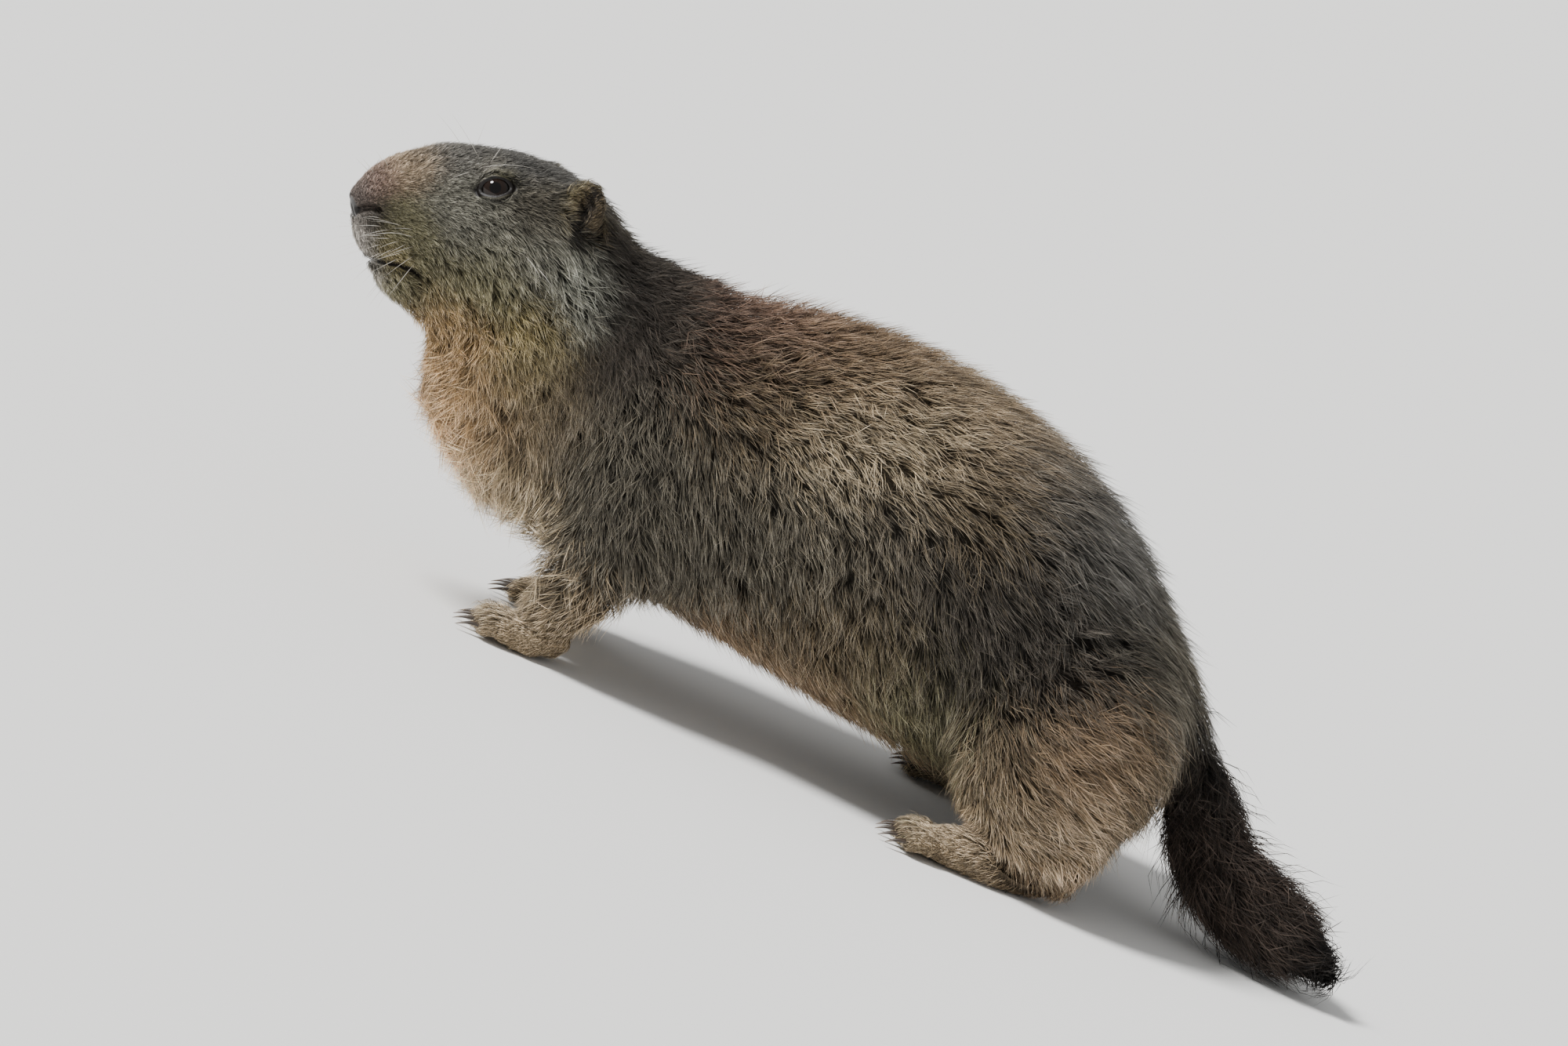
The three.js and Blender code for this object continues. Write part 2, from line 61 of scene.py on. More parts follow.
EARS = [name for name in NODES if name.startswith("ear_")]
FLESH = [name for name in NODES if name not in CLAWS + EYES + EARS]
FEET = [name for name in FLESH if "foot" in name]
LOWER_LEGS = [name for name in FLESH if name.startswith(("forearm", "shin"))]

# Skin
VOXEL = 2.45 * MM
FOOT_VOXEL = 1.1 * MM
EAR_VOXEL = 0.7 * MM
GAP = 0.3 * MM  # between neighbouring nodes
WELD = 1e-6  # corners nearer than this are one
SKIN_DEPTH = 10.5 * MM  # at most, where the coat stands out
FOOT_DEPTH = 0.9 * MM
EAR_DEPTH = 0.4 * MM
UNDER_FOOT = 2.0 * MM  # the body's own feet lie this much inside the finer ones
SHRINK_STEPS = 12
NORMAL_STEPS = 4  # of smoothing the ways in, before each step
NORMAL_WEIGHT = 0.5
SURFACE_STEPS = 5  # of smoothing the surface, after each step
SMOOTH_FROM = 1.5 * MM  # where the skin goes in by more than this, it is smoothed more
SMOOTH_OVER = 8 * MM
SMOOTH_RANGE = (0.02, 0.6)
LOCKED_DEPTH = 3.5 * MM  # only a coat this deep has locks in the solids
LOCK_THICKNESS = 9 * MM
LOCK_MARGIN = 3
LOCK_NEIGHBOURS = 0.2  # share of its neighbours on a lock from which a point belongs to it
FILM_STEPS = 500
FILM_WEIGHT = 0.95
FLOOR_CLEARANCE = 0.4 * MM
WRAP_ANGLE = math.radians(66)
WRAP_MARGIN = 0.002

# Feet and ears
HEEL_SHARE = 0.45  # of the foot's length that is rounded
HEEL_LIFT = 0.4
HEEL_NARROWING = 0.3
HEEL_STEPS = 60
HEEL_WEIGHT = 0.6
FOOT_STEPS = 3
EAR_STEPS = 4
FINE_WEIGHT = 0.4  # of smoothing on feet and ears
EAR_MOVE = (0.8, -2.4, -0.6)  # in the head's frame, in millimetres
EAR_ROOT = (-99, 33, 15)
EAR_BLEND = 6.0
EAR_BLEND_STEPS = 12
# Painted shade in the ear's hollow: the line it follows, how far it reaches and fades, and how dark it gets
EAR_SHADE_LINE = [(-100, 34.5, 22), (-99, 35, 16), (-95, 35.5, 11), (-93, 37.5, 6)]
EAR_SHADE_FADE = (3.6, 2.0)
EAR_SHADE_DARKNESS = 0.9
EAR_MIDDLE = (-100, 38, 18)
EAR_FADE = (9, 4)  # the ear's own coat reaches this far from its middle, and fades over this width
EAR_COLOUR = "umber"
ANKLE_BLEND = (1 * MM, 7 * MM)  # how near leg and foot are smoothed into each other, and over what width
ANKLE_STEPS = 40
ANKLE_WEIGHT = 0.6

# Coat. Pairs for guard hairs have their value first, and the value of the hairs under them second.
DENSITY_POWER = 0.75
CLUMP_SIZE = 16  # tufts that lean together
LOCK_SIZE = 220  # tufts that share a tone
CLUMP_SWING = 0.36
HAIR_SWING = 0.28
SWING_SHARE = (0.4, 0.9)  # in a sleek coat, and what a loose one adds
STRAY_SHARE = 0.05  # of tufts that stand out from the rest
STRAY_SWING = 0.5
STRAY_STAND = 0.7
CLUMP_PULL = 0.45
SLEEK_PULL = 0.4
PULL_RANGE = (0.4, 1.2)
MOST_PULL = 0.8
CLUMP_SPREAD = 0.35  # what is left of the way between two roots, at tips pulled together fully
CLUMP_TONE = 0.15
LOCK_TONE = 0.10
GUARD_SHARE = 0.55
GUARD_LENGTH = (1.1, 0.72)
GUARD_STAND = (1.0, 0.62)
GUARD_WIDTH = (0.8, 1.3)
LENGTH_RANGE = (0.8, 1.15)
LOOSE_STAND = (-0.25, 0.8)
CLUMP_STAND = (0.1, 0.35)  # how unevenly clumps stand in a sleek coat, and what a loose one adds
MOST_HEIGHT = 0.75  # of a tip over the skin, as a share of the tuft's length
LEAST_REACH = 0.3  # of a tip along the skin, likewise
BEND = (0.3, 0.95)  # where a tuft bends, as shares of its reach and height
TWIST = 0.5
BARE_FROM = 0.5  # share of bare skin from which no hair grows
COVER_FROM = 0.3  # share of bare skin from which no tip should lie on it
COVER_CUT = 0.35  # what is left of a tuft whose tip would lie on bare skin
ROOT_SUNK = 0.4 * MM
HAIR_WIDTH = 0.17 * MM
HAIR_WIDENING = 0.017  # times its length
WIDENS_TO = 15 * MM  # a tuft longer than this is no wider
RING_SHARES = {1: [0.42], 2: [0.28, 0.66]}  # where a tuft of one or two rings has them, from root to tip
RING_CORNERS = ((0, 0.62), (-1, -0.31), (1, -0.31))  # sideways and up, in halves of the tuft's width
SOLE_HEIGHT = 2.5 * MM
SOLE_FACING = -0.5
PATCH = 0.003  # size of a tuft on the unwrap
PATCH_EDGE = 0.0005

# Claws and whiskers
CLAW_LENGTH = 9 * MM
CLAW_ROOT = 0.12  # share of its length that counts as its root
CLAW_RADIUS = 1.5 * MM
CLAW_POINT = 0.12 * MM
CLAW_TAPER = 1.6
CLAW_SUNK = 0.25
CLAW_ARCH = 0.12
CLAW_SHARES = (0, 0.3, 0.6, 0.85, 1)
HAIR_SHARES = (0, 0.2, 0.45, 0.7, 0.9, 1)
HAIR_TAPER = 1.05
WHISKER_RADIUS = 0.11 * MM
WHISKER_ROWS = [(4, -3.0), (5, -6.5), (5, -10.5), (4, -14.5), (3, -18.0)]  # hairs in the row, its height
WHISKER_FRONT = -10  # where the top row starts
WHISKER_SPAN = 14  # length of a row
WHISKER_FALL = 2.2  # of a row towards its back
WHISKER_NEAR = 2  # the cheek is as wide as the skin this near to the root
WHISKER_SUNK = 0.6
WHISKER_WAY = np.array([1.1, 0.5])  # forward and sideways, at a row's front
WHISKER_TURN = np.array([-0.7, 0.2])  # what its back adds
WHISKER_LIFT = -0.12  # of a row at the middle height
WHISKER_FAN = 0.03
WHISKER_MIDDLE = -10
WHISKER_SCATTER = 0.1
WHISKER_LENGTH = 16
WHISKER_GROWTH = 18  # what a row's back adds
WHISKER_RANGE = (0.75, 1.15)
WHISKER_DROOP = (-3, 1)
LONG_HAIR_RADIUS = 1.15 * WHISKER_RADIUS
LONG_HAIR_SCATTER = 0.06
LONG_HAIR_RANGE = (0.85, 1.1)
LONG_HAIRS = [
    # place and way in the head's frame, length, droop
    ((-52, 15, 31), (0.75, 0.2, 1.0), 30, -5),
    ((-55, 17, 30), (-0.35, 0.3, 1.0), 26, -6),
    ((-50, 18, 27), (-0.9, 0.5, 0.45), 30, -7),
    ((-48, 19, 25), (0.9, 0.6, -0.1), 20, -3),
    ((-9, 4, 14), (0.9, 0.25, 0.9), 12, -1),
    ((-14, 5, 17), (0.7, 0.3, 1.0), 9, -1),
    ((-70, 40, -6), (-0.4, 1.0, -0.1), 20, -5),
    ((-74, 41, -10), (-0.6, 0.9, -0.3), 18, -5),
    ((-12, 7, -31), (0.7, 0.3, -0.8), 13, -2),
    ((-20, 10, -37), (0.5, 0.3, -0.9), 12, -2),
    ((-17, 3, -36), (0.6, 0.0, -0.9), 11, -2),
]

# Head features, in the head's frame and in millimetres
EYE_AT = (-59.4, 18.8, 16.8)
NOSE_AT = (-5.0, 0.0, 2.6)
EYE_FACES = (0.25, 0.9, 0.34)
EYE_BACK = (-0.94, 0.23, 0.27)  # from the front corner to the back one
EYE_RADIUS = 8.0
EYE_SEGMENTS = 48
EYE_RINGS = 32
EYE_HALF_WIDTH = 6.5
EYE_UPPER = 3.2
EYE_LOWER = 2.7
EYE_POWER = 1.7  # of the opening's outline: 2 is an ellipse, and less is more pointed
EYE_STRETCH = 0.35  # how much wider the lids are at the corners
EYE_SEAT = 1.6  # how far under the eyeball's surface the skin lies in the opening
EYE_CORNER = (-51.8, 21.4, 14.6)
EYE_CORNER_SIZE = (3.0, 3.0, 1.5)
LID_THICKNESS = 1.0
LID_EDGE = (-0.45, 0.25)  # from the opening to the lid's full thickness
LID_ROLL = (1.2, 5.5)  # from the lid to the face
LID_REACH = 9  # of its shape, out from the eyeball
LID_DARK_REACH = 6  # of its bare edge
MOUTH_LINE = [(6, -24.0), (-6, -24.0), (-13, -23.4), (-22, -22.6), (-28, -24.0), (-33, -26.5)]
MOUTH_DARK = (-36, -32)  # its dark edge comes in between these, from the back
MOUTH_CARVED = (-37, -33)  # and so does its groove
MOUTH_SHALLOW = 0.45  # share of the groove's depth at the front
MOUTH_DEEPENS = (6, 14)  # how far behind the nose the groove gets its full depth
NOSTRIL_LINE = [(-0.8, 6.5, -2.5), (-2.4, 9.2, -0.8), (-5.0, 12.6, 0.6), (-8.6, 16.0, 0.2)]
NOSE_PAD = (-0.5, 0.0, -1.5)
NOSE_PAD_SIZE = (5.0, 7.0, 5.0)
CLEFT_BOTTOM = (-25, -22)
CLEFT_TOP = (-1, 2)  # as depth under the nose tip
CLEFT_BACK = (-18, -12)
LOBE_AT = (-7, 6.5, -15)  # the swelling of the upper lip
LOBE_SIZE = (7, 5, 8)

# Bare dark skin: how far it reaches from a feature, and the width over which it fades
LID_BARE = (1.9, 1.0)
EYE_CORNER_BARE = (0.7, 0.5)
NOSTRIL_BARE = (1.7, 1.0)
NOSE_PAD_BARE = (0.85, 0.3)
MOUTH_BARE = (0.9, 0.8)

# Ridges and grooves of the face: height, width, and distance from the line that they follow
MOUTH_GROOVE = (-2.3, 0.9)
LIP_RIDGE = (0.8, 1.5, 2.4)
NOSTRIL_GROOVE = (-3.6, 1.7)
NOSTRIL_RIDGE = (0.5, 1.2, 2.6)
CLEFT_GROOVE = (-1.5, 0.8)
LOBE_RIDGE = (1.3, 1.0)
LID_RIDGE = (0.35, 1.0, 1.4)

# The part of the face that is made finer
FINE_MARGINS = (9, 4)
FINE_EYE = 9  # round the eye's middle, besides the margin
FINE_MOUTH_BACK = -38
FINE_CLEFT_BACK = -16
FINE_CLEFT_HEIGHTS = (-28, 6)
FINE_STEPS = 4
FINE_SMOOTHING = 0.5

# Materials
SHADERS = {
    # roughness, specular level
    "coat": (0.62, 0.3),
    "skin": (0.8, 0.3),
    "eye": (0.05, 0.25),
    "horn": (0.38, 0.5),
    "whisker": (0.4, 0.5),
    "studio_floor": (0.9, 0.5),
}
PAINTS = {
    "pupil": "040303",
    "iris": "1a100a",
    "eye rim": "070504",
    "horn": "14100d",
    "horn streak": "4a3c30",
    "horn tip": "8a7660",
    "whisker root": "6a6055",
    "whisker": "e8e2d6",
    "floor": "f0efec",
    "sky": "ecedee",
}
# Root: how dark a hair's root is, partly its own colour and partly painted shade deep in the coat
GRIZZLE = {"Along": 0.5, "Chance": 0.5, "Guard": 1.0, "Root": 0.15, "Tip": 2.7, "Dark tips": 0.3}
HAIR_SHADE = (0.2, 0.75)  # the part of a hair, from root to tip, over which its dark root ends; that darkness is partly the hair's own colour and partly painted shade deep in the coat
HAIR_PALE = (0.6, 0.85)  # the part over which its tip gets pale
HAIR_DARK = (0.4, 0.8)  # the part over which some tips get dark
DARK_TIP = -0.78
TIP_FADING = 0.3  # of a pale tip's colour
SECOND_CHANCE = 7.31  # times a tuft's chance, for one that doesn't follow it
BRIGHTNESS = (0.8, 0.6)  # what chance adds, and the least
GUARD_BRIGHTNESS = (0.4, 0.66)  # what a guard hair adds, and the least; the darker under-hairs are partly their own colour and partly painted shade under the guard hairs
FINE_NOISE = (1400.0, 2.0)  # scale and detail
COARSE_NOISE = (320.0, 3.0)
STREAKS = (0.3, 0.7)
STREAK_SHARE = 0.3  # of a hair's length that is seen in a streak
SKIN_BUMP = (0.5, 0.0006)  # strength and distance
SHORT_FUR = (3 * MM, 6 * MM)  # the length up to which fur is short, and the width over which it gets long
BARE_ROUGHNESS = -0.38  # what bare skin adds
EYE_COAT = 0.15
EYE_COAT_ROUGHNESS = 0.02
PUPIL_EDGE = (0.32, 0.36)  # angles from where the eye looks
IRIS_EDGE = (0.62, 0.8)
HORN_STRETCH = (120.0, 900.0, 900.0)
HORN_NOISE = (1.0, 3.0)
HORN_BUMP = (0.25, 0.0003)
HORN_TIP = (0.55, 1.0, 0.0, 0.45)  # from where to where along the claw, and how pale there
WHISKER_ROOT = (0.0, 0.35)

# Stage, light and camera
FLOOR_SIZE = 80
SKY_STRENGTH = 0.6
SUN_STRENGTH = 5.6
SUN_ANGLE = math.radians(14)
SUN_FROM = (0.8, 0.25, 1.0)
CAMERA_DISTANCE = 5.5
CAMERA_RISE = math.radians(12)
CAMERA_ROLL = math.radians(25)
CAMERA_CLIP = (0.5, 200)
PHOTO_SCALE = 2800  # photo pixels to the metre
PHOTO_SIZE = (2000, 1334)
ANCHOR_IN_PHOTO = (1010, 985)  # where the photo shows the anchor, in its pixels
ANCHOR = (-0.0046, -0.0004, -0.0082)


def rgb(code):
    """Linear colour from a hex code."""
    parts = [int(code[i : i + 2], 16) / 255 for i in (0, 2, 4)]
    return tuple(c / 12.92 if c <= 0.04045 else ((c + 0.055) / 1.055) ** 2.4 for c in parts)


def paint(name):
    return (*rgb(PAINTS[name]), 1)


def unit(v):
    """Vectors along the last axis, at length one."""
    v = np.asarray(v, float)
    return v / np.maximum(np.linalg.norm(v, axis=-1, keepdims=True), 1e-9)


def sided(place, side):
    """A place or way that is written for the left side, on the side asked for."""
    return np.asarray(place, float) * (1, side, 1)


def smooth_step(x, low, high):
    t = np.clip((x - low) / (high - low), 0, 1)
    return t * t * (3 - 2 * t)


def fades(distance, width, soft):
    """One up to width, and nothing from width and soft on."""
    return 1 - smooth_step(distance, width, width + soft)


def swell(distance, high, wide, at=0.0):
    """A round ridge, or a groove where high is under 0, at a distance from the line that it follows."""
    return high * np.exp(-(((distance - at) / wide) ** 2))


# Head frame


def middle_of(name):
    """The middle of a frame node's box."""
    return np.array(sum(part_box(name), Vector()) / 2)


def head_frame():
    """The head's place and axes in the body frame, from where its two eyes and its nose are."""
    left_eye, right_eye = middle_of("eye_left"), middle_of("eye_right")
    between = (left_eye + right_eye) / 2
    left = unit(left_eye - right_eye)
    ahead = middle_of("nose") - between
    ahead = unit(ahead - left * (ahead @ left))
    above = np.cross(ahead, left)
    pitch = math.atan2(EYE_AT[2] - NOSE_AT[2], NOSE_AT[0] - EYE_AT[0])
    forward = ahead * math.cos(pitch) + above * math.sin(pitch)
    axes = np.stack([forward, left, np.cross(forward, left)])
    return between - (np.array([EYE_AT[0], 0, EYE_AT[2]]) * MM) @ axes, axes


HEAD_AT, HEAD_AXES = head_frame()


def to_head(points):
    """Body frame in metres to the head's frame in millimetres."""
    return (points - HEAD_AT) @ HEAD_AXES.T / MM


def from_head(points):
    return HEAD_AT + (np.asarray(points, float) * MM) @ HEAD_AXES


def mirrored(points):
    """Points of the head's frame with the right side laid on the left one."""
    return points * (1, 0, 1) + np.abs(points) * (0, 1, 0)


# Zones of the coat. Each one has its place and reach in millimetres and says what the coat is like there.
# A zone off the middle plane stands for both sides, and between zones the coat changes smoothly.
#   long: length of its hairs, deep: how far they stand over the skin, lie: the way they point,
#   loose: 0 is sleek, and 1 or more is shaggy
EAR_COAT = 4.6  # length of the ear's own hairs
HEAD_COAT = [
    # place, reach, long, deep, lie, loose
    ((-1, 0, 5), 8, 1.8, 0.8, (-0.6, 0, 0.8), 0.05),  # nose
    ((-12, 6, 17), 11, 3.2, 1.5, (-1, 0, 0.4), 0.15),  # bridge
    ((-5, 5, -12), 8, 2.8, 1.3, (-0.35, 0.4, -0.8), 0.1),  # upper lip
    ((-20, 19, -3), 11, 3.8, 1.8, (-1, 0.2, -0.2), 0.1),  # muzzle
    ((-24, 19, -16), 10, 4.2, 2, (-0.8, 0.2, -0.6), 0.12),  # whisker pad
    ((-18, 8, -32), 12, 4.5, 2.2, (-0.8, 0, -0.5), 0.35),  # chin
    ((-52, 27, 2), 14, 5.0, 2.4, (-0.85, 0.1, -0.5), 0.15),  # under the eye
    ((-42, 21, 16), 9, 3.2, 1.6, (-1, 0, 0), 0.1),  # before the eye
    ((-56, 18, 31), 9, 5.0, 2.3, (-0.95, 0.2, 0.2), 0.25),  # brow
    ((-45, 6, 33), 14, 4.8, 2.3, (-1, 0, 0.15), 0.25),  # forehead
    ((-74, 6, 36), 16, 6.5, 3.2, (-1, 0, 0.05), 0.3),  # crown
    ((-96, 6, 32), 16, 9.0, 4.5, (-0.95, 0, -0.3), 0.3),  # back of the crown
    ((-76, 34, 16), 12, 5.8, 2.8, (-0.95, 0, -0.3), 0.2),  # temple
    ((-80, 41, -4), 16, 9.0, 4.2, (-0.65, 0.1, -0.75), 0.2),  # cheek
    ((-101, 40, -15), 14, 13.0, 5.8, (-0.7, 0.2, -0.68), 0.3),  # edge of the cheek
    ((-56, 32, -24), 16, 8.0, 4, (-0.65, 0, -0.75), 0.35),  # jaw
    ((-86, 32, -42), 16, 14.0, 6.5, (-0.7, 0, -0.7), 0.4),  # below the cheek
    ((-50, 8, -46), 16, 9.0, 5, (-0.9, 0, -0.4), 0.5),  # under the jaw
    ((-98, 35, 16), 9, EAR_COAT, 1.3, (-0.9, 0.15, 0.4), 0.15),  # ear
    ((-116, 32, 4), 13, 13.0, 5.5, (-0.8, 0.1, -0.55), 0.3),  # behind the ear
    ((-120, 4, 16), 18, 13.0, 6.5, (-0.95, 0, -0.3), 0.35),  # back of the head
]
BODY_COAT = [
    ((150, 6, 186), 26, 17, 7.5, (-0.98, 0, -0.1), 0.35),  # nape
    ((158, 36, 170), 24, 17, 7.5, (-0.8, 0.1, -0.56), 0.3),  # side of the nape
    ((160, 46, 125), 28, 17, 8.5, (-0.6, 0.1, -0.8), 0.4),  # side of the neck
    ((216, 20, 112), 22, 24, 14, (0.2, 0.1, -0.98), 1.2),  # throat
    ((198, 20, 84), 24, 30, 17, (0.4, 0.15, -1), 1.2),  # bib
    ((176, 25, 58), 24, 34, 19, (0.5, 0.15, -1), 1.2),  # chest
    ((150, 32, 42), 22, 30, 14, (0.5, 0.1, -1), 1.2),  # between the fore legs
    ((125, 62, 112), 28, 17, 8.5, (-0.5, 0, -0.86), 0.35),  # shoulder
    ((106, 68, 82), 24, 16, 8, (-0.35, 0, -0.93), 0.35),  # upper arm
    ((100, 20, 180), 32, 22, 9.5, (-1, 0.1, -0.05), 0.6),  # withers
    ((49, 30, 178), 34, 18, 9.5, (-0.95, 0.05, -0.2), 0.5),  # front of the back
    ((22, 62, 160), 32, 17, 9.5, (-0.8, 0.05, -0.45), 0.5),  # side of the back
    ((-20, 20, 184), 38, 20, 9.5, (-0.98, 0, -0.12), 0.4),  # middle of the back
    ((25, 76, 105), 36, 16.5, 9.5, (-0.66, 0, -0.78), 0.4),  # flank
    ((5, 70, 64), 32, 21, 9.5, (-0.5, -0.1, -0.86), 0.4),  # low flank
    ((0, 15, 34), 34, 16, 7, (-0.95, 0, -0.1), 0.4),  # belly
    ((-42, 60, 52), 28, 23, 9, (-0.5, -0.1, -0.86), 0.4),  # side of the belly
    ((-70, 76, 112), 32, 17, 9.5, (-0.72, 0, -0.7), 0.4),  # hip
    ((-88, 20, 155), 36, 22, 9, (-0.92, 0, -0.4), 0.35),  # croup
    ((-128, 24, 122), 30, 21, 8.5, (-0.8, 0, -0.6), 0.3),  # rump
    ((-112, 82, 70), 26, 22, 8.5, (-0.97, 0.05, -0.15), 0.35),  # thigh
    ((-114, 82, 34), 22, 20, 7, (-0.97, 0.05, -0.12), 0.35),  # low thigh
    ((-80, 74, 58), 18, 17, 7.5, (-0.4, 0.05, -0.9), 0.35),  # front of the thigh
    ((-148, 62, 64), 22, 25, 8.5, (-0.85, 0.1, -0.5), 0.5),  # back of the thigh
    ((-164, 5, 84), 18, 24, 8, (-0.6, 0, -0.8), 0.45),  # root of the tail
    ((-181, 2, 51), 22, 28, 10, (-0.6, 0.05, -0.75), 0.4),  # tail
    ((-212, 4, 28), 24, 32, 10, (-0.92, 0.1, -0.3), 0.45),  # brush
    ((-248, 11, 19), 20, 32, 7, (-0.99, 0.1, -0.05), 0.4),  # end of the brush
    ((122, 46, 42), 16, 17, 5, (0.15, 0, -1), 0.8),  # forearm
    ((130, 44, 22), 9, 10, 2.4, (0.2, 0, -1), 0.45),  # wrist
    ((130, 43, 8), 18, 2.7, 0.8, (0.9, 0, -0.35), 0.05),  # forefoot
    ((-132, 65, 20), 16, 11, 3.5, (-0.2, 0, -0.95), 0.35),  # heel
    ((-92, 68, 9), 24, 2.9, 0.8, (0.95, 0, -0.3), 0.05),  # hind foot
]
FAR_SHARE = 1e-4  # each zone keeps this little far away, so that every place has a coat
WAVES = 8
WAVE_LENGTHS = (0.022, 0.07)
WAVERING = (1.2, 5.5)  # how far a zone's edge wavers on the face, and what the body adds
WAVERING_GROWS = (115, 170)  # the distances from the nose between which it does
MIXING = 1.3  # how far tufts of neighbouring zones mix, as a share of the wavering

# Colours of the coat. A zone takes one of them, and neighbouring zones run into each other.
COLOURS = {
    "black": "1c1815",
    "tail brown": "3b3028",
    "soot": "37302a",
    "smoke": "544d44",
    "umber": "77684f",
    "dusk": "6e6758",
    "slate": "77746e",
    "ash": "8f8b82",
    "stone": "a09a8c",
    "silver": "bcbdad",
    "sage": "928f80",
    "olive": "948e6c",
    "straw": "ab9a68",
    "gold": "ae9161",
    "rust": "94796a",
    "russet": "9a7a66",
    "fawn": "a08465",
    "sand": "b9a283",
    "buff": "b09a7a",
    "cream": "e0caa4",
    "apricot": "ddb582",
    "pearl": "beb6ac",
    "nose grey": "6c615a",
}
HEAD_MARKINGS = [
    # place, reach, colour
    ((-1, 3, 6), 8, "nose grey"),
    ((-9, 5, 13), 8, "rust"),  # bridge
    ((-22, 6, 23), 10, "sand"),  # upper bridge
    ((-4, 5, -12), 7, "pearl"),  # upper lip
    ((-8, 15.5, -5), 6, "soot"),  # round the nostril
    ((-22, 20, -8), 10, "olive"),  # muzzle
    ((-18, 18, -19), 6, "straw"),  # edge of the lip
    ((-14, 4, -27), 7, "pearl"),  # front of the chin
    ((-24, 12, -34), 11, "olive"),  # chin
    ((-42, 24, 8), 11, "sage"),  # before the eye
    ((-54, 28, 0), 12, "sage"),  # under the eye
    ((-55, 16, 28), 6, "stone"),  # brow
    ((-60, 24, 24), 5, "olive"),  # over the eye
    ((-40, 5, 32), 13, "ash"),  # forehead
    ((-74, 5, 36), 16, "slate"),  # crown
    ((-96, 6, 32), 15, "slate"),  # back of the crown
    ((-76, 34, 14), 12, "dusk"),  # temple
    ((-78, 41, -6), 13, "sage"),  # cheek
    ((-100, 40, -14), 12, "silver"),  # edge of the cheek
    ((-101, 41, -28), 8, "silver"),  # its lower end
    ((-120, 41, -20), 11, "soot"),  # behind the cheek: painted shade of the head on the neck
    ((-58, 32, -24), 15, "olive"),  # jaw
    ((-84, 32, -42), 15, "straw"),  # below the cheek
    ((-50, 8, -46), 15, "gold"),  # under the jaw
    ((-98, 35, 18), 8, "straw"),  # ear
    ((-119, 35, 2), 14, "soot"),  # behind the ear: painted shade of the head on the neck
    ((-120, 6, 20), 15, "dusk"),  # back of the head
]
BODY_MARKINGS = [
    ((146, 4, 190), 22, "smoke"),  # nape
    ((160, 36, 176), 20, "soot"),  # side of the nape
    ((140, 44, 162), 22, "smoke"),  # painted shade of the head on the collar
    ((174, 46, 114), 21, "umber"),  # side of the neck
    ((159, 47, 150), 21, "soot"),  # painted shade of the head at the side of the collar
    ((218, 20, 116), 20, "apricot"),  # throat
    ((202, 18, 88), 22, "apricot"),  # bib
    ((176, 20, 58), 22, "cream"),  # chest
    ((150, 30, 40), 18, "cream"),  # between the fore legs
    ((127, 62, 112), 28, "dusk"),  # shoulder
    ((106, 68, 80), 22, "dusk"),  # upper arm
    ((96, 24, 180), 26, "russet"),  # withers
    ((84, 44, 158), 22, "umber"),  # below the withers
    ((49, 20, 184), 30, "fawn"),  # front of the back
    # The pale patch on the back is partly the coat's own colour and partly painted sunlight, with painted shade
    # under it.
    ((26, 58, 168), 27, "cream"),  # side of the back: the coat's paler back, brightened as painted sunlight
    ((-18, 20, 186), 34, "sand"),  # middle of the back: the coat's paler back, brightened as painted sunlight
    ((-34, 60, 158), 18, "umber"),  # end of the painted sunlit patch on the back
    ((-56, 24, 176), 22, "ash"),  # before the croup
    ((4, 74, 130), 17, "smoke"),  # painted shade under the sunlit patch on the back
    ((30, 76, 112), 30, "dusk"),  # flank
    ((5, 72, 68), 26, "umber"),  # low flank
    ((0, 20, 34), 30, "fawn"),  # belly
    ((-40, 62, 52), 24, "olive"),  # side of the belly
    ((-70, 76, 112), 34, "smoke"),  # hip
    ((-88, 20, 155), 32, "slate"),  # croup
    ((-128, 24, 122), 28, "dusk"),  # rump
    ((-110, 82, 72), 22, "fawn"),  # thigh
    ((-118, 82, 36), 22, "sand"),  # low thigh
    ((-80, 76, 62), 18, "umber"),  # front of the thigh
    ((-150, 60, 64), 18, "umber"),  # back of the thigh
    ((-164, 5, 84), 18, "soot"),  # root of the tail
    ((-181, 2, 51), 22, "tail brown"),  # tail
    ((-212, 4, 28), 22, "tail brown"),  # brush
    ((-256, 12, 20), 20, "black"),  # end of the brush
    ((114, 46, 34), 14, "buff"),  # forearm
    ((138, 43, 26), 12, "cream"),  # front of the forearm
    ((128, 43, 6), 16, "buff"),  # forefoot
    ((-132, 65, 18), 14, "fawn"),  # heel
    ((-92, 68, 8), 22, "buff"),  # hind foot
]
# Dark of bare skin, also laid on the ear's hollow as painted shade
BARE_SKIN_AND_EAR_SHADE = "171311"


def zones(head_rows, body_rows):
    """Both tables with the far side added: places in the body frame and reaches, in millimetres, and rows."""
    places, reaches, rows = [], [], []
    for on_head, table in ((True, head_rows), (False, body_rows)):
        for place, reach, *row in table:
            for side in (1, -1) if place[1] > 0 else (1,):
                at = sided(place, side)
                places.append(from_head(at) / MM if on_head else at)
                reaches.append(reach)
                rows.append((on_head, side, row))
    return np.array(places), np.array(reaches, float), rows


def shares(points, places, reaches):
    """How much of each zone is at each point."""
    far = np.linalg.norm(points[:, None] / MM - places[None], axis=2) / reaches
    weights = np.exp(-far * far) + FAR_SHARE * np.exp(-far)
    return weights / weights.sum(1, keepdims=True)


def each(points, rule, chunk=20000):
    """A rule's result for all points, worked out a chunk at a time."""
    return np.concatenate([rule(points[i : i + chunk]) for i in range(0, len(points), chunk)])


def ear_share(points):
    """How much of the ear's own coat is at points of the body frame."""
    return fades(np.linalg.norm(mirrored(to_head(points)) - EAR_MIDDLE, axis=1), *EAR_FADE)


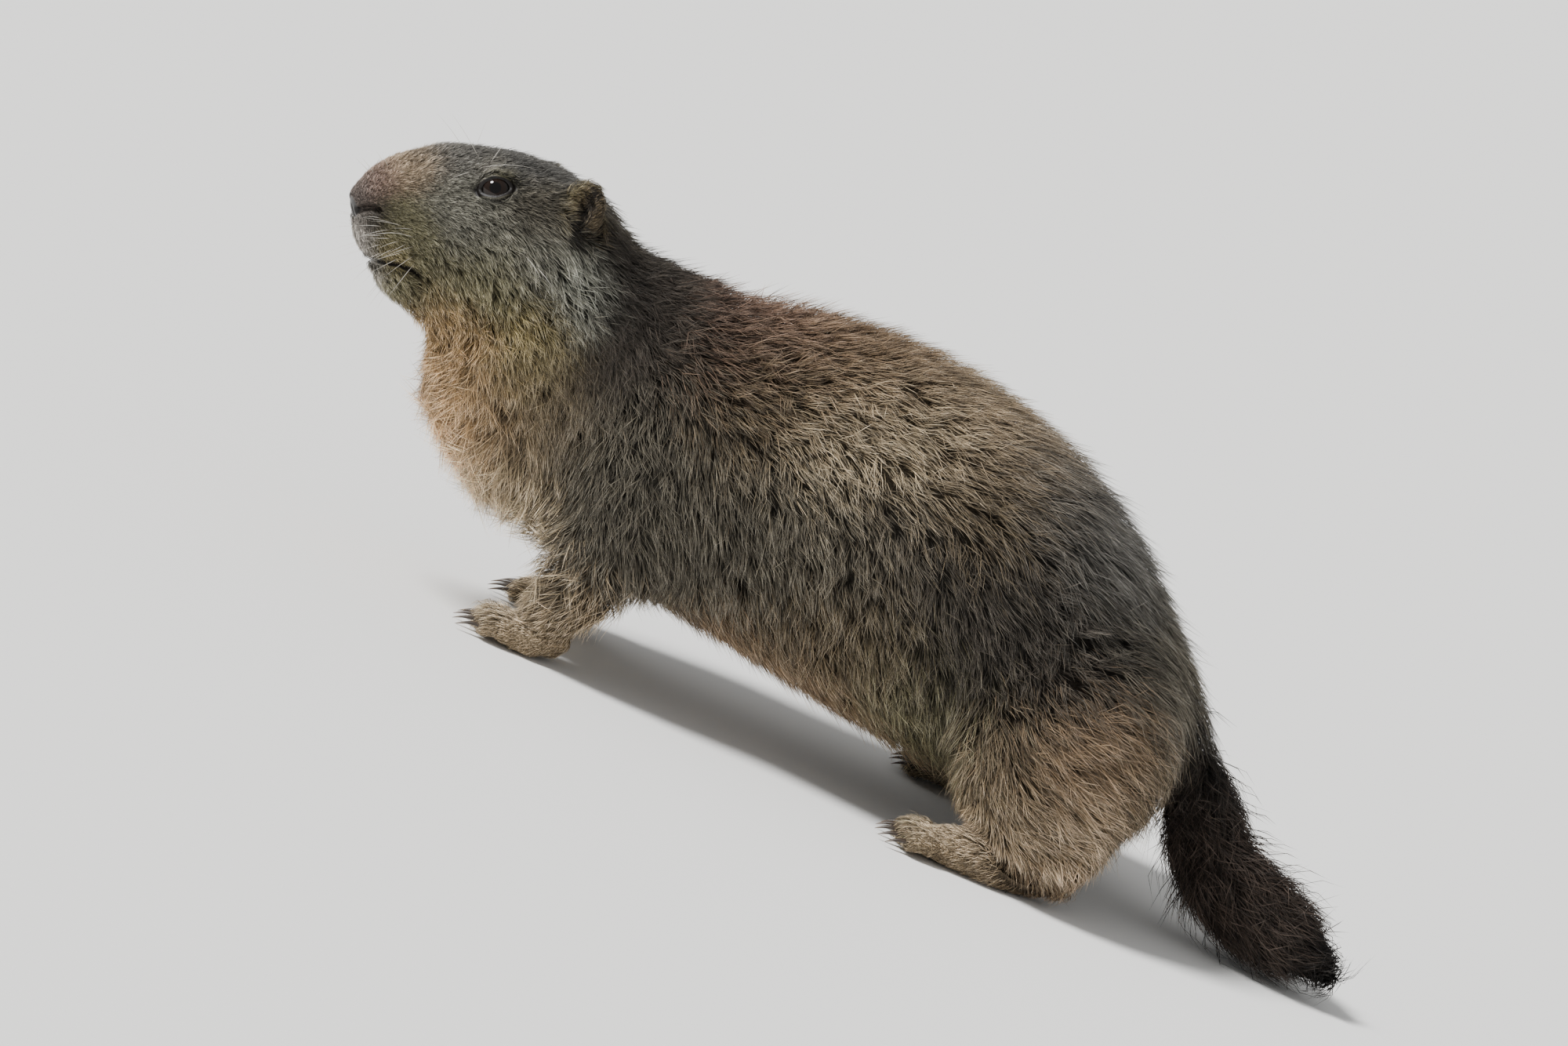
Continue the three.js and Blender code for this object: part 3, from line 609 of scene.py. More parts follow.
def coat_rule():
    """A function of points: long and deep in metres, the three shares of lie, and loose."""
    places, reaches, rows = zones(HEAD_COAT, BODY_COAT)
    values = []
    for on_head, side, (long, deep, lie, loose) in rows:
        way = unit(sided(lie, side))
        values.append([long * MM, deep * MM, *(way @ HEAD_AXES if on_head else way), loose])
    values = np.array(values)
    ear_values = values[[row[2][0] == EAR_COAT for row in rows]]

    def coat(some):
        mixed = shares(some, places, reaches) @ values
        own = np.where(to_head(some)[:, 1:2] > 0, ear_values[0], ear_values[1])
        return mixed + ear_share(some)[:, None] * (own - mixed)

    return lambda points: each(points, coat)


def wavering(points):
    """How much a zone's edge wavers at each point, as a shift in metres, and its size there."""
    random = np.random.default_rng(SEED)
    on_face, added = WAVERING
    size = (on_face + added * smooth_step(np.linalg.norm(to_head(points), axis=1), *WAVERING_GROWS)) * MM
    shift = np.zeros(points.shape)
    for _ in range(WAVES):
        way = unit(random.normal(0, 1, 3))
        along = unit(random.normal(0, 1, 3))
        phase = random.uniform(0, 2 * math.pi)
        shift += along * np.sin(points @ way * 2 * math.pi / random.uniform(*WAVE_LENGTHS) + phase)[:, None]
    return shift * size[:, None] / math.sqrt(WAVES), size


def tint_rule():
    """A function of points: the coat's linear colour."""
    places, reaches, rows = zones(HEAD_MARKINGS, BODY_MARKINGS)
    values = np.array([rgb(COLOURS[name]) for _, _, (name,) in rows])
    ear_colour = np.array(rgb(COLOURS[EAR_COLOUR]))
    dark = np.array(rgb(BARE_SKIN_AND_EAR_SHADE))

    def tint(some):
        furred = shares(some + wavering(some)[0], places, reaches) @ values
        furred += ear_share(some)[:, None] * (ear_colour - furred)
        # Bare skin is dark of itself; the ear's hollow is darkened as painted shade.
        dark_skin_and_shade = np.maximum(bare_skin(some), EAR_SHADE_DARKNESS * ear_hollow_shade(some))
        return furred + dark_skin_and_shade[:, None] * (dark - furred)

    return lambda points: each(points, tint)


coat_at = coat_rule()
tint_at = tint_rule()


# Meshes as arrays


def read(data, key, kind=float, width=3):
    """One value of each element of a mesh, as rows of an array."""
    values = np.empty(len(data) * width, kind)
    data.foreach_get(key, values)
    return values.reshape(-1, width)


def points_of(mesh):
    return read(mesh.vertices, "co")


def edges_of(mesh):
    return read(mesh.edges, "vertices", int, 2)


def normals_of(mesh):
    return read(mesh.vertex_normals, "vector")


def set_points(mesh, points):
    mesh.vertices.foreach_set("co", points.ravel())
    mesh.update()


def store(mesh, tint=None, **numbers):
    """Numbers and a tint for each point, as attributes that the materials read."""
    for key, values in numbers.items():
        mesh.attributes.new(key, "FLOAT", "POINT").data.foreach_set("value", values)
    if tint is not None:
        colour = np.column_stack([tint, np.ones(len(tint))])
        mesh.attributes.new("tint", "FLOAT_COLOR", "POINT").data.foreach_set("color", colour.ravel())


def neighbour_mean(values, edges):
    """Mean of each vertex's neighbours."""
    count = np.bincount(edges.ravel(), minlength=len(values))
    columns = []
    for column in values.T:
        total = np.bincount(edges[:, 0], column[edges[:, 1]], len(values))
        total += np.bincount(edges[:, 1], column[edges[:, 0]], len(values))
        columns.append(total / np.maximum(count, 1))
    return np.stack(columns, 1)


def relaxed(values, edges, times, weight):
    """Values drawn towards their neighbours' mean. weight is one number or one for each vertex."""
    weight = np.broadcast_to(weight, len(values))[:, None]
    for _ in range(times):
        values = values + weight * (neighbour_mean(values, edges) - values)
    return values


def linked(name, data):
    obj = bpy.data.objects.new(name, data)
    bpy.context.scene.collection.objects.link(obj)
    return obj


def dropped(obj):
    mesh = obj.data
    bpy.data.objects.remove(obj)
    bpy.data.meshes.remove(mesh)


def evaluated(obj):
    """A new mesh of an object with its modifiers applied."""
    return bpy.data.meshes.new_from_object(obj.evaluated_get(bpy.context.evaluated_depsgraph_get()))


def voxels(mesh, voxel):
    """A copy of the mesh remeshed in voxels."""
    source = linked("source", mesh)
    modifier = source.modifiers.new("voxels", "REMESH")
    modifier.mode = "VOXEL"
    modifier.voxel_size = voxel
    made = evaluated(source)
    dropped(source)
    return made


def remeshed(names, voxel):
    """One closed mesh round these nodes of the frame, each grown by their gap so that they join."""
    joined = bmesh.new()
    for node in names:
        one = bmesh.new()
        one.from_mesh(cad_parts[node].data)
        bmesh.ops.remove_doubles(one, verts=one.verts, dist=WELD)
        one.normal_update()
        for vert in one.verts:
            vert.co += vert.normal * GAP
        grown = bpy.data.meshes.new("grown")
        one.to_mesh(grown)
        one.free()
        joined.from_mesh(grown)
        bpy.data.meshes.remove(grown)
    mesh = bpy.data.meshes.new("joined")
    joined.to_mesh(mesh)
    joined.free()
    return voxels(mesh, voxel)


def united(meshes):
    """One closed mesh from several that cross each other."""
    objects = [linked(f"part_{index}", mesh) for index, mesh in enumerate(meshes)]
    for other in objects[1:]:
        modifier = objects[0].modifiers.new("union", "BOOLEAN")
        modifier.operation = "UNION"
        modifier.solver = "MANIFOLD"
        modifier.object = other
    made = evaluated(objects[0])
    for obj in objects:
        dropped(obj)
    return made


# Skin


def node_tree(names):
    """A search tree over some of the frame's nodes, and the number of the node of each of its faces."""
    corners, faces, owners = [], [], []
    for number, name in enumerate(names):
        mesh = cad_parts[name].data
        base = len(corners)
        corners.extend(vert.co[:] for vert in mesh.vertices)
        faces.extend([base + index for index in face.vertices] for face in mesh.polygons)
        owners.extend([number] * len(mesh.polygons))
    return BVHTree.FromPolygons(corners, faces), owners


NODE_NAMES = np.array(FLESH + EARS)
NODE_TREE, NODE_OF_FACE = node_tree(NODE_NAMES)


def nearest_node(points):
    """The name of the frame's node of flesh that is nearest to each point."""
    return NODE_NAMES[[NODE_OF_FACE[NODE_TREE.find_nearest(Vector(point))[2]] for point in points]]


def shrunk(mesh, deep, weight):
    """Moves the mesh's points in by deep, in steps that smooth the surface by weight as they go."""
    edges = edges_of(mesh)
    points = points_of(mesh)
    for _ in range(SHRINK_STEPS):
        normals = unit(relaxed(normals_of(mesh), edges, NORMAL_STEPS, NORMAL_WEIGHT))
        points = points - normals * (deep / SHRINK_STEPS)[:, None]
        points = relaxed(points, edges, SURFACE_STEPS, weight)
        set_points(mesh, points)


def without_locks(mesh):
    """Draws the solids' broad locks back to the surface they grow from, as a film over each lock's root."""
    work = bmesh.new()
    work.from_mesh(mesh)
    tree = BVHTree.FromBMesh(work)
    work.free()
    points, normals, edges = points_of(mesh), normals_of(mesh), edges_of(mesh)
    thin = np.zeros(len(points))
    for index in np.flatnonzero(coat_at(points)[:, 1] > LOCKED_DEPTH):
        way = Vector(-normals[index])
        hit = tree.ray_cast(Vector(points[index]) + way * GAP, way, LOCK_THICKNESS)
        thin[index] = hit[0] is not None
    for _ in range(LOCK_MARGIN):
        thin = np.maximum(thin, neighbour_mean(thin[:, None], edges)[:, 0] > LOCK_NEIGHBOURS)
    loose = thin > 0
    near = edges[loose[edges].any(1)]
    used, local = np.unique(near, return_inverse=True)
    film = np.where(loose[used], FILM_WEIGHT, 0)
    points[used] = relaxed(points[used], local.reshape(-1, 2), FILM_STEPS, film)
    set_points(mesh, points)


def make_foot(name):
    """A foot finer than the body, with its toes apart and its heel round."""
    mesh = remeshed([name], FOOT_VOXEL)
    edges, points = edges_of(mesh), points_of(mesh)
    share = (points[:, 0] - points[:, 0].min()) / np.ptp(points[:, 0])
    back = 1 - smooth_step(share, 0, HEEL_SHARE)
    points[:, 2] += HEEL_LIFT * back * (points[:, 2].max() - points[:, 2])
    points[:, 1] -= HEEL_NARROWING * back * (points[:, 1] - np.median(points[:, 1]))
    points = relaxed(points, edges, HEEL_STEPS, HEEL_WEIGHT * back)
    set_points(mesh, relaxed(points, edges, FOOT_STEPS, FINE_WEIGHT))
    set_points(mesh, points_of(mesh) - normals_of(mesh) * FOOT_DEPTH)
    return mesh


def make_ear(name):
    """An ear, moved in with the skin that it grows from."""
    mesh = remeshed([name], EAR_VOXEL)
    set_points(mesh, relaxed(points_of(mesh), edges_of(mesh), EAR_STEPS, FINE_WEIGHT))
    points = to_head(points_of(mesh) - normals_of(mesh) * EAR_DEPTH)
    set_points(mesh, from_head(points + sided(EAR_MOVE, SIDES[name.removeprefix("ear_")])))
    return mesh


def along_line(points, line):
    """Distance of 2-D or 3-D points to a line of points."""
    line = np.asarray(line, float)
    nearest = np.full(len(points), np.inf)
    for start, end in zip(line[:-1], line[1:]):
        way = end - start
        share = np.clip((points - start) @ way / (way @ way), 0, 1)
        far = np.linalg.norm(points - start - share[:, None] * way, axis=1)
        nearest = np.minimum(nearest, far)
    return nearest


def eye_plane(points):
    """Points of the head's left half as the eye sees them: back along its opening, and up."""
    out = unit(EYE_FACES)
    back = unit(np.array(EYE_BACK) - out * (np.array(EYE_BACK) @ out))
    above = np.cross(back, out)
    above *= np.sign(above[2])
    offset = points - EYE_AT
    return offset @ back, offset @ above


def past_lid(points):
    """Distance of points of the head's left half from the edge of the eye's opening, under 0 inside it."""
    back, above = eye_plane(points)
    across = np.abs(back) / EYE_HALF_WIDTH
    upright = np.abs(above) / np.where(above > 0, EYE_UPPER, EYE_LOWER)
    share = (across**EYE_POWER + upright**EYE_POWER) ** (1 / EYE_POWER)
    return (share - 1) * EYE_LOWER * (1 + EYE_STRETCH * across)


def spot(points, middle, size, reach):
    """One at a place of this size, fading at its edge."""
    return fades(np.linalg.norm((points - middle) / size, axis=1), *reach)


def bare_skin(points):
    """The share of bare dark skin at points of the body frame: lids, nose, nostrils and edge of the mouth."""
    head = mirrored(to_head(points))
    near_eye = np.linalg.norm(head - EYE_AT, axis=1) < EYE_RADIUS + LID_DARK_REACH
    front = smooth_step(head[:, 0], *MOUTH_DARK)
    return np.maximum.reduce(
        [
            near_eye * fades(past_lid(head), *LID_BARE),
            spot(head, EYE_CORNER, EYE_CORNER_SIZE, EYE_CORNER_BARE),
            fades(along_line(head, NOSTRIL_LINE), *NOSTRIL_BARE),
            spot(head, NOSE_PAD, NOSE_PAD_SIZE, NOSE_PAD_BARE),
            front * fades(along_line(head[:, [0, 2]], MOUTH_LINE), *MOUTH_BARE),
        ]
    )


def ear_hollow_shade(points):
    """The share of painted shade in the ear's hollow, at points of the body frame."""
    return fades(along_line(mirrored(to_head(points)), EAR_SHADE_LINE), *EAR_SHADE_FADE)


def refined(mesh, chosen):
    """Splits the faces whose centres chosen(points in the head's frame) picks into four."""
    work = bmesh.new()
    work.from_mesh(mesh)
    work.faces.ensure_lookup_table()
    centres = np.array([face.calc_center_median() for face in work.faces])
    picked = chosen(mirrored(to_head(centres)))
    edges = {edge for index in np.flatnonzero(picked) for edge in work.faces[index].edges}
    bmesh.ops.subdivide_edges(work, edges=list(edges), cuts=1, use_grid_fill=True)
    work.to_mesh(mesh)
    work.free()


def near_features(margin):
    """A choice of places within margin millimetres of the eye, the nose, the nostrils and the mouth."""

    def chosen(points):
        forward, left, height = points.T
        low, high = FINE_CLEFT_HEIGHTS
        eye = np.linalg.norm(points - EYE_AT, axis=1) < FINE_EYE + margin
        mouth = (forward > FINE_MOUTH_BACK) & (along_line(points[:, [0, 2]], MOUTH_LINE) < margin)
        nostril = along_line(points, NOSTRIL_LINE) < margin
        cleft = (forward > FINE_CLEFT_BACK) & (left < margin) & (height > low) & (height < high)
        return eye | mouth | nostril | cleft

    return chosen


def carve_face(points, normals):
    """Points of the head's frame moved along their normals for mouth, nostrils, cleft and lip lobes."""
    half = mirrored(points)
    forward, left, height = half.T
    front = smooth_step(forward, *MOUTH_CARVED)
    deepening = MOUTH_SHALLOW + (1 - MOUTH_SHALLOW) * smooth_step(-forward, *MOUTH_DEEPENS)
    mouth = along_line(half[:, [0, 2]], MOUTH_LINE)
    nostril = along_line(half, NOSTRIL_LINE)
    cleft = smooth_step(height, *CLEFT_BOTTOM) * smooth_step(-height, *CLEFT_TOP)
    cleft = cleft * smooth_step(forward, *CLEFT_BACK)
    rise = front * (deepening * swell(mouth, *MOUTH_GROOVE) + swell(mouth, *LIP_RIDGE))
    rise += swell(nostril, *NOSTRIL_GROOVE) + swell(nostril, *NOSTRIL_RIDGE)
    rise += cleft * swell(left, *CLEFT_GROOVE)
    rise += swell(np.linalg.norm((half - LOBE_AT) / LOBE_SIZE, axis=1), *LOBE_RIDGE)
    return points + normals * rise[:, None]


def lidded(points):
    """Points of the head's frame with the lids laid round the eye."""
    left = mirrored(points)
    outside = past_lid(left)
    offset = left - EYE_AT
    radius = np.linalg.norm(offset, axis=1)
    near = (offset @ unit(EYE_FACES) > 0) & (radius < EYE_RADIUS + LID_REACH)
    over = EYE_RADIUS + LID_THICKNESS * (1 + swell(outside, *LID_RIDGE))
    behind = EYE_RADIUS - EYE_SEAT
    seat = behind + (over - behind) * smooth_step(outside, *LID_EDGE)
    keep = smooth_step(outside, *LID_ROLL)
    wanted = seat * (1 - keep) + radius * keep
    scale = np.where(near, wanted / radius, 1)
    moved = EYE_AT + offset * scale[:, None]
    moved[:, 1] *= np.where(points[:, 1] < 0, -1, 1)
    return moved


def blend_roots(mesh):
    """Smooths the skin where feet and ears grow from it."""
    points, edges = points_of(mesh), edges_of(mesh)
    from_ear = np.linalg.norm(mirrored(to_head(points)) - EAR_ROOT, axis=1)
    points = relaxed(points, edges, EAR_BLEND_STEPS, swell(from_ear, FINE_WEIGHT, EAR_BLEND))
    nearest = nearest_node(points)
    ankle = np.zeros(len(points))
    for own, other in ((FEET, LOWER_LEGS), (LOWER_LEGS, FEET)):
        tree = node_tree(other)[0]
        for index in np.flatnonzero(np.isin(nearest, own)):
            ankle[index] = fades(tree.find_nearest(Vector(points[index]))[3], *ANKLE_BLEND)
    set_points(mesh, relaxed(points, edges, ANKLE_STEPS, ANKLE_WEIGHT * ankle))


def make_skin():
    """The skin under the coat: body, feet and ears in one closed mesh, with the face carved into it."""
    mesh = remeshed(FLESH + EYES, VOXEL)
    without_locks(mesh)
    mesh = voxels(mesh, VOXEL)
    outer = points_of(mesh)
    deep = np.minimum(coat_at(outer)[:, 1], SKIN_DEPTH) + UNDER_FOOT * np.isin(nearest_node(outer), FEET)
    shrunk(mesh, deep, np.clip((deep - SMOOTH_FROM) / SMOOTH_OVER, *SMOOTH_RANGE))
    mesh = united([mesh, *map(make_foot, FEET), *map(make_ear, EARS)])
    blend_roots(mesh)
    for margin in FINE_MARGINS:
        chosen = near_features(margin)
        refined(mesh, chosen)
        points = points_of(mesh)
        weight = np.where(chosen(mirrored(to_head(points))), FINE_SMOOTHING, 0)
        set_points(mesh, relaxed(points, edges_of(mesh), FINE_STEPS, weight))
    points = to_head(points_of(mesh))
    points = carve_face(points, normals_of(mesh) @ HEAD_AXES.T)
    points = from_head(lidded(points))
    points[:, 2] = np.maximum(points[:, 2], FLOOR_CLEARANCE)
    set_points(mesh, points)
    mesh.name = "skin"
    return mesh


def paint_tint(mesh):
    """The coat's markings on the skin, and where it is bare or its fur short, as attributes."""
    points = points_of(mesh)
    short = fades(coat_at(points)[:, 0], *SHORT_FUR)
    store(mesh, tint_at(points), bare=bare_skin(points), short=short)


def unwrap(obj):
    """Unwraps a mesh by its own shape, as OFBake."""
    obj.data.uv_layers.new(name="OFBake")
    bpy.context.view_layer.objects.active = obj
    obj.select_set(True)
    bpy.ops.object.mode_set(mode="EDIT")
    bpy.ops.mesh.select_all(action="SELECT")
    bpy.ops.uv.smart_project(angle_limit=WRAP_ANGLE, island_margin=WRAP_MARGIN)
    bpy.ops.object.mode_set(mode="OBJECT")
    obj.select_set(False)


class Surface:
    """The finished skin's points, normals, triangles, unwrap and nearest nodes, for the coat."""

    def __init__(self, mesh):
        self.points = points_of(mesh)
        self.normals = normals_of(mesh)
        mesh.calc_loop_triangles()
        self.triangles = read(mesh.loop_triangles, "vertices", int)
        loops = read(mesh.loop_triangles, "loops", int)
        self.wrap = read(mesh.uv_layers["OFBake"].uv, "vector", width=2)[loops]
        a, b, c = (self.points[self.triangles[:, i]] for i in range(3))
        self.area = np.linalg.norm(np.cross(b - a, c - a), axis=1) / 2
        self.owner = nearest_node(self.points)
        self.tree = kdtree.KDTree(len(self.points))
        for index, point in enumerate(self.points):
            self.tree.insert(point, index)
        self.tree.balance()

    def nearest(self, points):
        return np.array([self.tree.find(point)[1] for point in points])


# Coat


def bare(points, normals):
    """Where no hair grows: in the eye's opening, the nostrils and the mouth, and on the soles."""
    sole = (points[:, 2] < SOLE_HEIGHT) & (normals[:, 2] < SOLE_FACING)
    return (bare_skin(points) > BARE_FROM) | sole


def roots(surface, faces, count, random):
    """Seeded places on some faces of the skin, denser where hairs are short: points, normals and unwrap."""
    corners = surface.triangles[faces]
    middle = surface.points[corners].mean(1)
    weight = surface.area[faces] / coat_at(middle)[:, 0] ** DENSITY_POWER
    weight[bare(middle, unit(surface.normals[corners].mean(1)))] = 0
    total = np.cumsum(weight)
    picks = (np.arange(count) + random.random(count)) / count * total[-1]
    face = faces[np.searchsorted(total, picks)]
    share = random.random((count, 2))
    over = share.sum(1) > 1
    share[over] = 1 - share[over]
    share = np.column_stack([1 - share.sum(1), share])[..., None]
    corners = surface.triangles[face]
    points = (surface.points[corners] * share).sum(1)
    normals = unit((surface.normals[corners] * share).sum(1))
    return points, normals, (surface.wrap[face] * share).sum(1)


def turned(ways, normals, angle):
    """Directions turned about the normals."""
    side = np.cross(normals, ways)
    return ways * np.cos(angle)[:, None] + side * np.sin(angle)[:, None]


def clumps(at, per_clump, random):
    """For each root the number of the root that its clump gathers round."""
    heads = random.permutation(len(at))[: max(1, len(at) // per_clump)]
    tree = kdtree.KDTree(len(heads))
    for index in heads:
        tree.insert(at[index], int(index))
    tree.balance()
    return np.array([tree.find(point)[1] for point in at])


def leaning(coat, normal, clump, stray, random):
    """The way each tuft lies along the skin, turned with its clump and by itself."""
    count = len(coat)
    lie = coat[:, 2:5]
    lie = unit(lie - normal * (lie * normal).sum(1, keepdims=True))
    swing = random.normal(0, CLUMP_SWING, count)[clump] + random.normal(0, HAIR_SWING, count)
    swing += stray * random.normal(0, STRAY_SWING, count)
    sleek, added = SWING_SHARE
    return turned(lie, normal, swing * (sleek + added * coat[:, 5]))


def tuft_curves(surface, at, normal, lie, coat, clump, stray, guard, random):
    """Each tuft's curve, as its base, bend and tip, and its width. Tips gather with their clump."""
    count = len(at)
    long, deep, loose = coat[:, 0], coat[:, 1], coat[:, 5]
    length = long * np.where(guard, *GUARD_LENGTH) * random.uniform(*LENGTH_RANGE, count)
    stand = np.where(guard, *GUARD_STAND) * (1 + loose * random.uniform(*LOOSE_STAND, count))
    sleek, added = CLUMP_STAND
    uneven = 1 + np.abs(random.normal(0, sleek + added * loose, count))
    stand *= uneven[clump] * (1 + STRAY_STAND * stray)
    height = np.minimum(deep * stand, length * MOST_HEIGHT)
    reach = np.sqrt(np.maximum(length**2 - height**2, (LEAST_REACH * length) ** 2))
    foot = at + lie * reach[:, None]
    near = surface.nearest(foot)
    out = surface.normals[near]
    above = ((foot - surface.points[near]) * out).sum(1)
    tip = foot + out * (height - above)[:, None]
    gathered = tip[clump] + (at - at[clump]) * CLUMP_SPREAD
    pull = CLUMP_PULL * (SLEEK_PULL + loose) * random.uniform(*PULL_RANGE, count)
    tip = tip + (gathered - tip) * (np.minimum(pull, MOST_PULL) * ~stray)[:, None]
    tip = at + (tip - at) * (1 - (1 - COVER_CUT) * (bare_skin(tip) > COVER_FROM))[:, None]
    far = np.linalg.norm(tip - at, axis=1)
    tip = at + (tip - at) * np.minimum(1, length / far)[:, None]
    along, up = BEND
    bend = at + lie * (reach * along)[:, None] + normal * (height * up)[:, None]
    width = (HAIR_WIDTH + HAIR_WIDENING * np.minimum(length, WIDENS_TO)) * np.where(guard, *GUARD_WIDTH)
    return (at - normal * ROOT_SUNK, bend, tip), width


def tubes(curve, width, lie, normal, rings, random):
    """Corners of closed tapered tufts along their curves, and each corner's share of the way to the tip."""
    base, bend, tip = curve
    half = (width / 2)[:, None]
    ring_shares = np.array(RING_SHARES[rings])
    share = ring_shares[:, None, None]
    path = (1 - share) ** 2 * base + 2 * share * (1 - share) * bend + share**2 * tip
    slope = unit(2 * (1 - share) * (bend - base) + 2 * share * (tip - bend))
    twist = random.normal(0, TWIST, len(base))[None, :, None]
    side = unit(np.cross(normal, lie))
    side = unit(side - slope * (side * slope).sum(-1, keepdims=True))
    up = np.cross(slope, side)
    side, up = side * np.cos(twist) + up * np.sin(twist), up * np.cos(twist) - side * np.sin(twist)
    corners = [base]
    for ring in range(rings):
        for sideways, high in RING_CORNERS:
            corners.append(path[ring] + side[ring] * half * sideways + up[ring] * half * high)
    corners = np.stack([*corners, tip], 1)
    corners[..., 2] = np.maximum(corners[..., 2], FLOOR_CLEARANCE)
    return corners, np.concatenate([[0.0], np.repeat(ring_shares, 3), [1.0]])


def tufts(surface, faces, count, rings, random):
    """Arrays of a coat piece: corners by tuft, shares, and each tuft's chance, kind, tint and unwrap."""
    at, normal, wrap = roots(surface, faces, count, random)
    coat = coat_at(at)
    clump = clumps(at, CLUMP_SIZE, random)
    lock = clumps(at, LOCK_SIZE, random)
    stray = random.random(count) < STRAY_SHARE
    lie = leaning(coat, normal, clump, stray, random)
    chance = random.random(count)
    guard = random.random(count) < GUARD_SHARE
    curve, width = tuft_curves(surface, at, normal, lie, coat, clump, stray, guard, random)
    corners, along = tubes(curve, width, lie, normal, rings, random)
    tone = np.exp(random.normal(0, CLUMP_TONE, count)[clump] + random.normal(0, LOCK_TONE, count)[lock])
    strayed = at + random.normal(0, 1, (count, 3)) * (MIXING * wavering(at)[1])[:, None]
    return corners, along, chance, guard, tint_at(strayed) * tone[:, None], wrap


def tuft_faces(rings):
    """Faces of one tuft, from its root point over its rings to its tip, all facing out."""
    pairs = ((1, 2), (2, 3), (3, 1))
    tip = 3 * rings + 1
    faces = [(0, b, a) for a, b in pairs]
    for low in range(0, tip - 4, 3):
        faces += [(low + a, low + b, low + b + 3, low + a + 3) for a, b in pairs]
    return faces + [(tip - 4 + a, tip - 4 + b, tip) for a, b in pairs]


def coat_mesh(name, corners, along, chance, guard, tint, wrap, rings):
    """A mesh of tufts, with the attributes that its material reads and its unwrap."""
    count, size = corners.shape[:2]
    faces = tuft_faces(rings)
    pattern = np.concatenate([np.array(face) for face in faces])
    corner_of_loop = (np.arange(count)[:, None] * size + pattern[None]).ravel()
    lengths = np.tile([len(face) for face in faces], count)
    mesh = bpy.data.meshes.new(name)
    mesh.vertices.add(count * size)
    mesh.vertices.foreach_set("co", corners.ravel())
    mesh.loops.add(len(corner_of_loop))
    mesh.loops.foreach_set("vertex_index", corner_of_loop)
    mesh.polygons.add(len(lengths))
    mesh.polygons.foreach_set("loop_start", np.concatenate([[0], np.cumsum(lengths)[:-1]]))
    mesh.polygons.foreach_set("use_smooth", np.ones(len(lengths), bool))
    mesh.update(calc_edges=True)
    by_corner = {"chance": np.repeat(chance, size), "guard": np.repeat(guard.astype(float), size)}
    store(mesh, np.repeat(tint, size, 0), along=np.tile(along, count), **by_corner)
    turn = np.array([1.0] + [0.0, 1.0, 2.0] * rings + [1.0]) / 2 - 0.5
    patch = np.column_stack([turn, along - 0.5]) * PATCH
    patches = np.clip(wrap[:, None] + patch[None], PATCH_EDGE, 1 - PATCH_EDGE)
    mesh.uv_layers.new(name="OFBake").uv.foreach_set("vector", patches.reshape(-1, 2)[corner_of_loop].ravel())
    return mesh


def everywhere(points):
    return np.ones(len(points), bool)


def head_half(side):
    """One side of the head, which is turned to the body."""
    return lambda points: (to_head(points)[:, 1] >= 0) == (side > 0)


def body_half(side):
    return lambda points: (points[:, 1] >= 0) == (side > 0)


def part_of_trunk(side, ahead):
    """A quarter of the trunk: the left or right side, before or behind its middle."""
    return lambda points: body_half(side)(points) & ((points[:, 0] >= TRUNK_MIDDLE) == ahead)


HEAD_NODES = ["head", "lower_jaw", "nose", *EARS]
TRUNK_NODES = ["torso", "upper_arm_left", "upper_arm_right"]
TRUNK_MIDDLE = 20 * MM
COAT_PIECES = [
    # name, slot, nodes, part of them, tufts, rings along a tuft
    ("coat_head_left", "fur_crown", HEAD_NODES, head_half(1), 31000, 1),
    ("coat_head_right", "fur_crown", HEAD_NODES, head_half(-1), 25000, 1),
    ("coat_neck_left", "fur_neck", ["neck"], body_half(1), 21000, 1),
    ("coat_neck_right", "fur_neck", ["neck"], body_half(-1), 18000, 1),
    ("coat_shoulder_left", "fur_shoulder", TRUNK_NODES, part_of_trunk(1, True), 21000, 1),
    ("coat_shoulder_right", "fur_shoulder", TRUNK_NODES, part_of_trunk(-1, True), 18000, 1),
    ("coat_back_left", "fur_back", TRUNK_NODES, part_of_trunk(1, False), 21000, 1),
    ("coat_back_right", "fur_back", TRUNK_NODES, part_of_trunk(-1, False), 18000, 1),
    ("coat_thigh_left", "fur_haunch", ["thigh_left"], everywhere, 13000, 1),
    ("coat_thigh_right", "fur_haunch", ["thigh_right"], everywhere, 11000, 1),
    ("coat_lower_legs", "fur_shin", LOWER_LEGS, everywhere, 11000, 1),
    ("coat_feet", "fur_shin", FEET, everywhere, 17000, 1),
    ("coat_tail", "fur_tail", ["tail_root", "tail_brush"], everywhere, 11000, 2),
]


def make_coat(surface, material):
    """The coat's pieces. Each one covers the nodes it names, on one side or part of them."""
    face_owner = surface.owner[surface.triangles[:, 0]]
    middle = surface.points[surface.triangles].mean(1)
    for number, (name, slot, nodes, inside, count, rings) in enumerate(COAT_PIECES):
        faces = np.flatnonzero(np.isin(face_owner, nodes) & inside(middle))
        random = np.random.default_rng(SEED + number)
        arrays = tufts(surface, faces, count, rings, random)
        piece = linked(name, coat_mesh(name, *arrays, rings))
        piece.data.materials.append(material)
        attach(piece, BODY)


# Materials


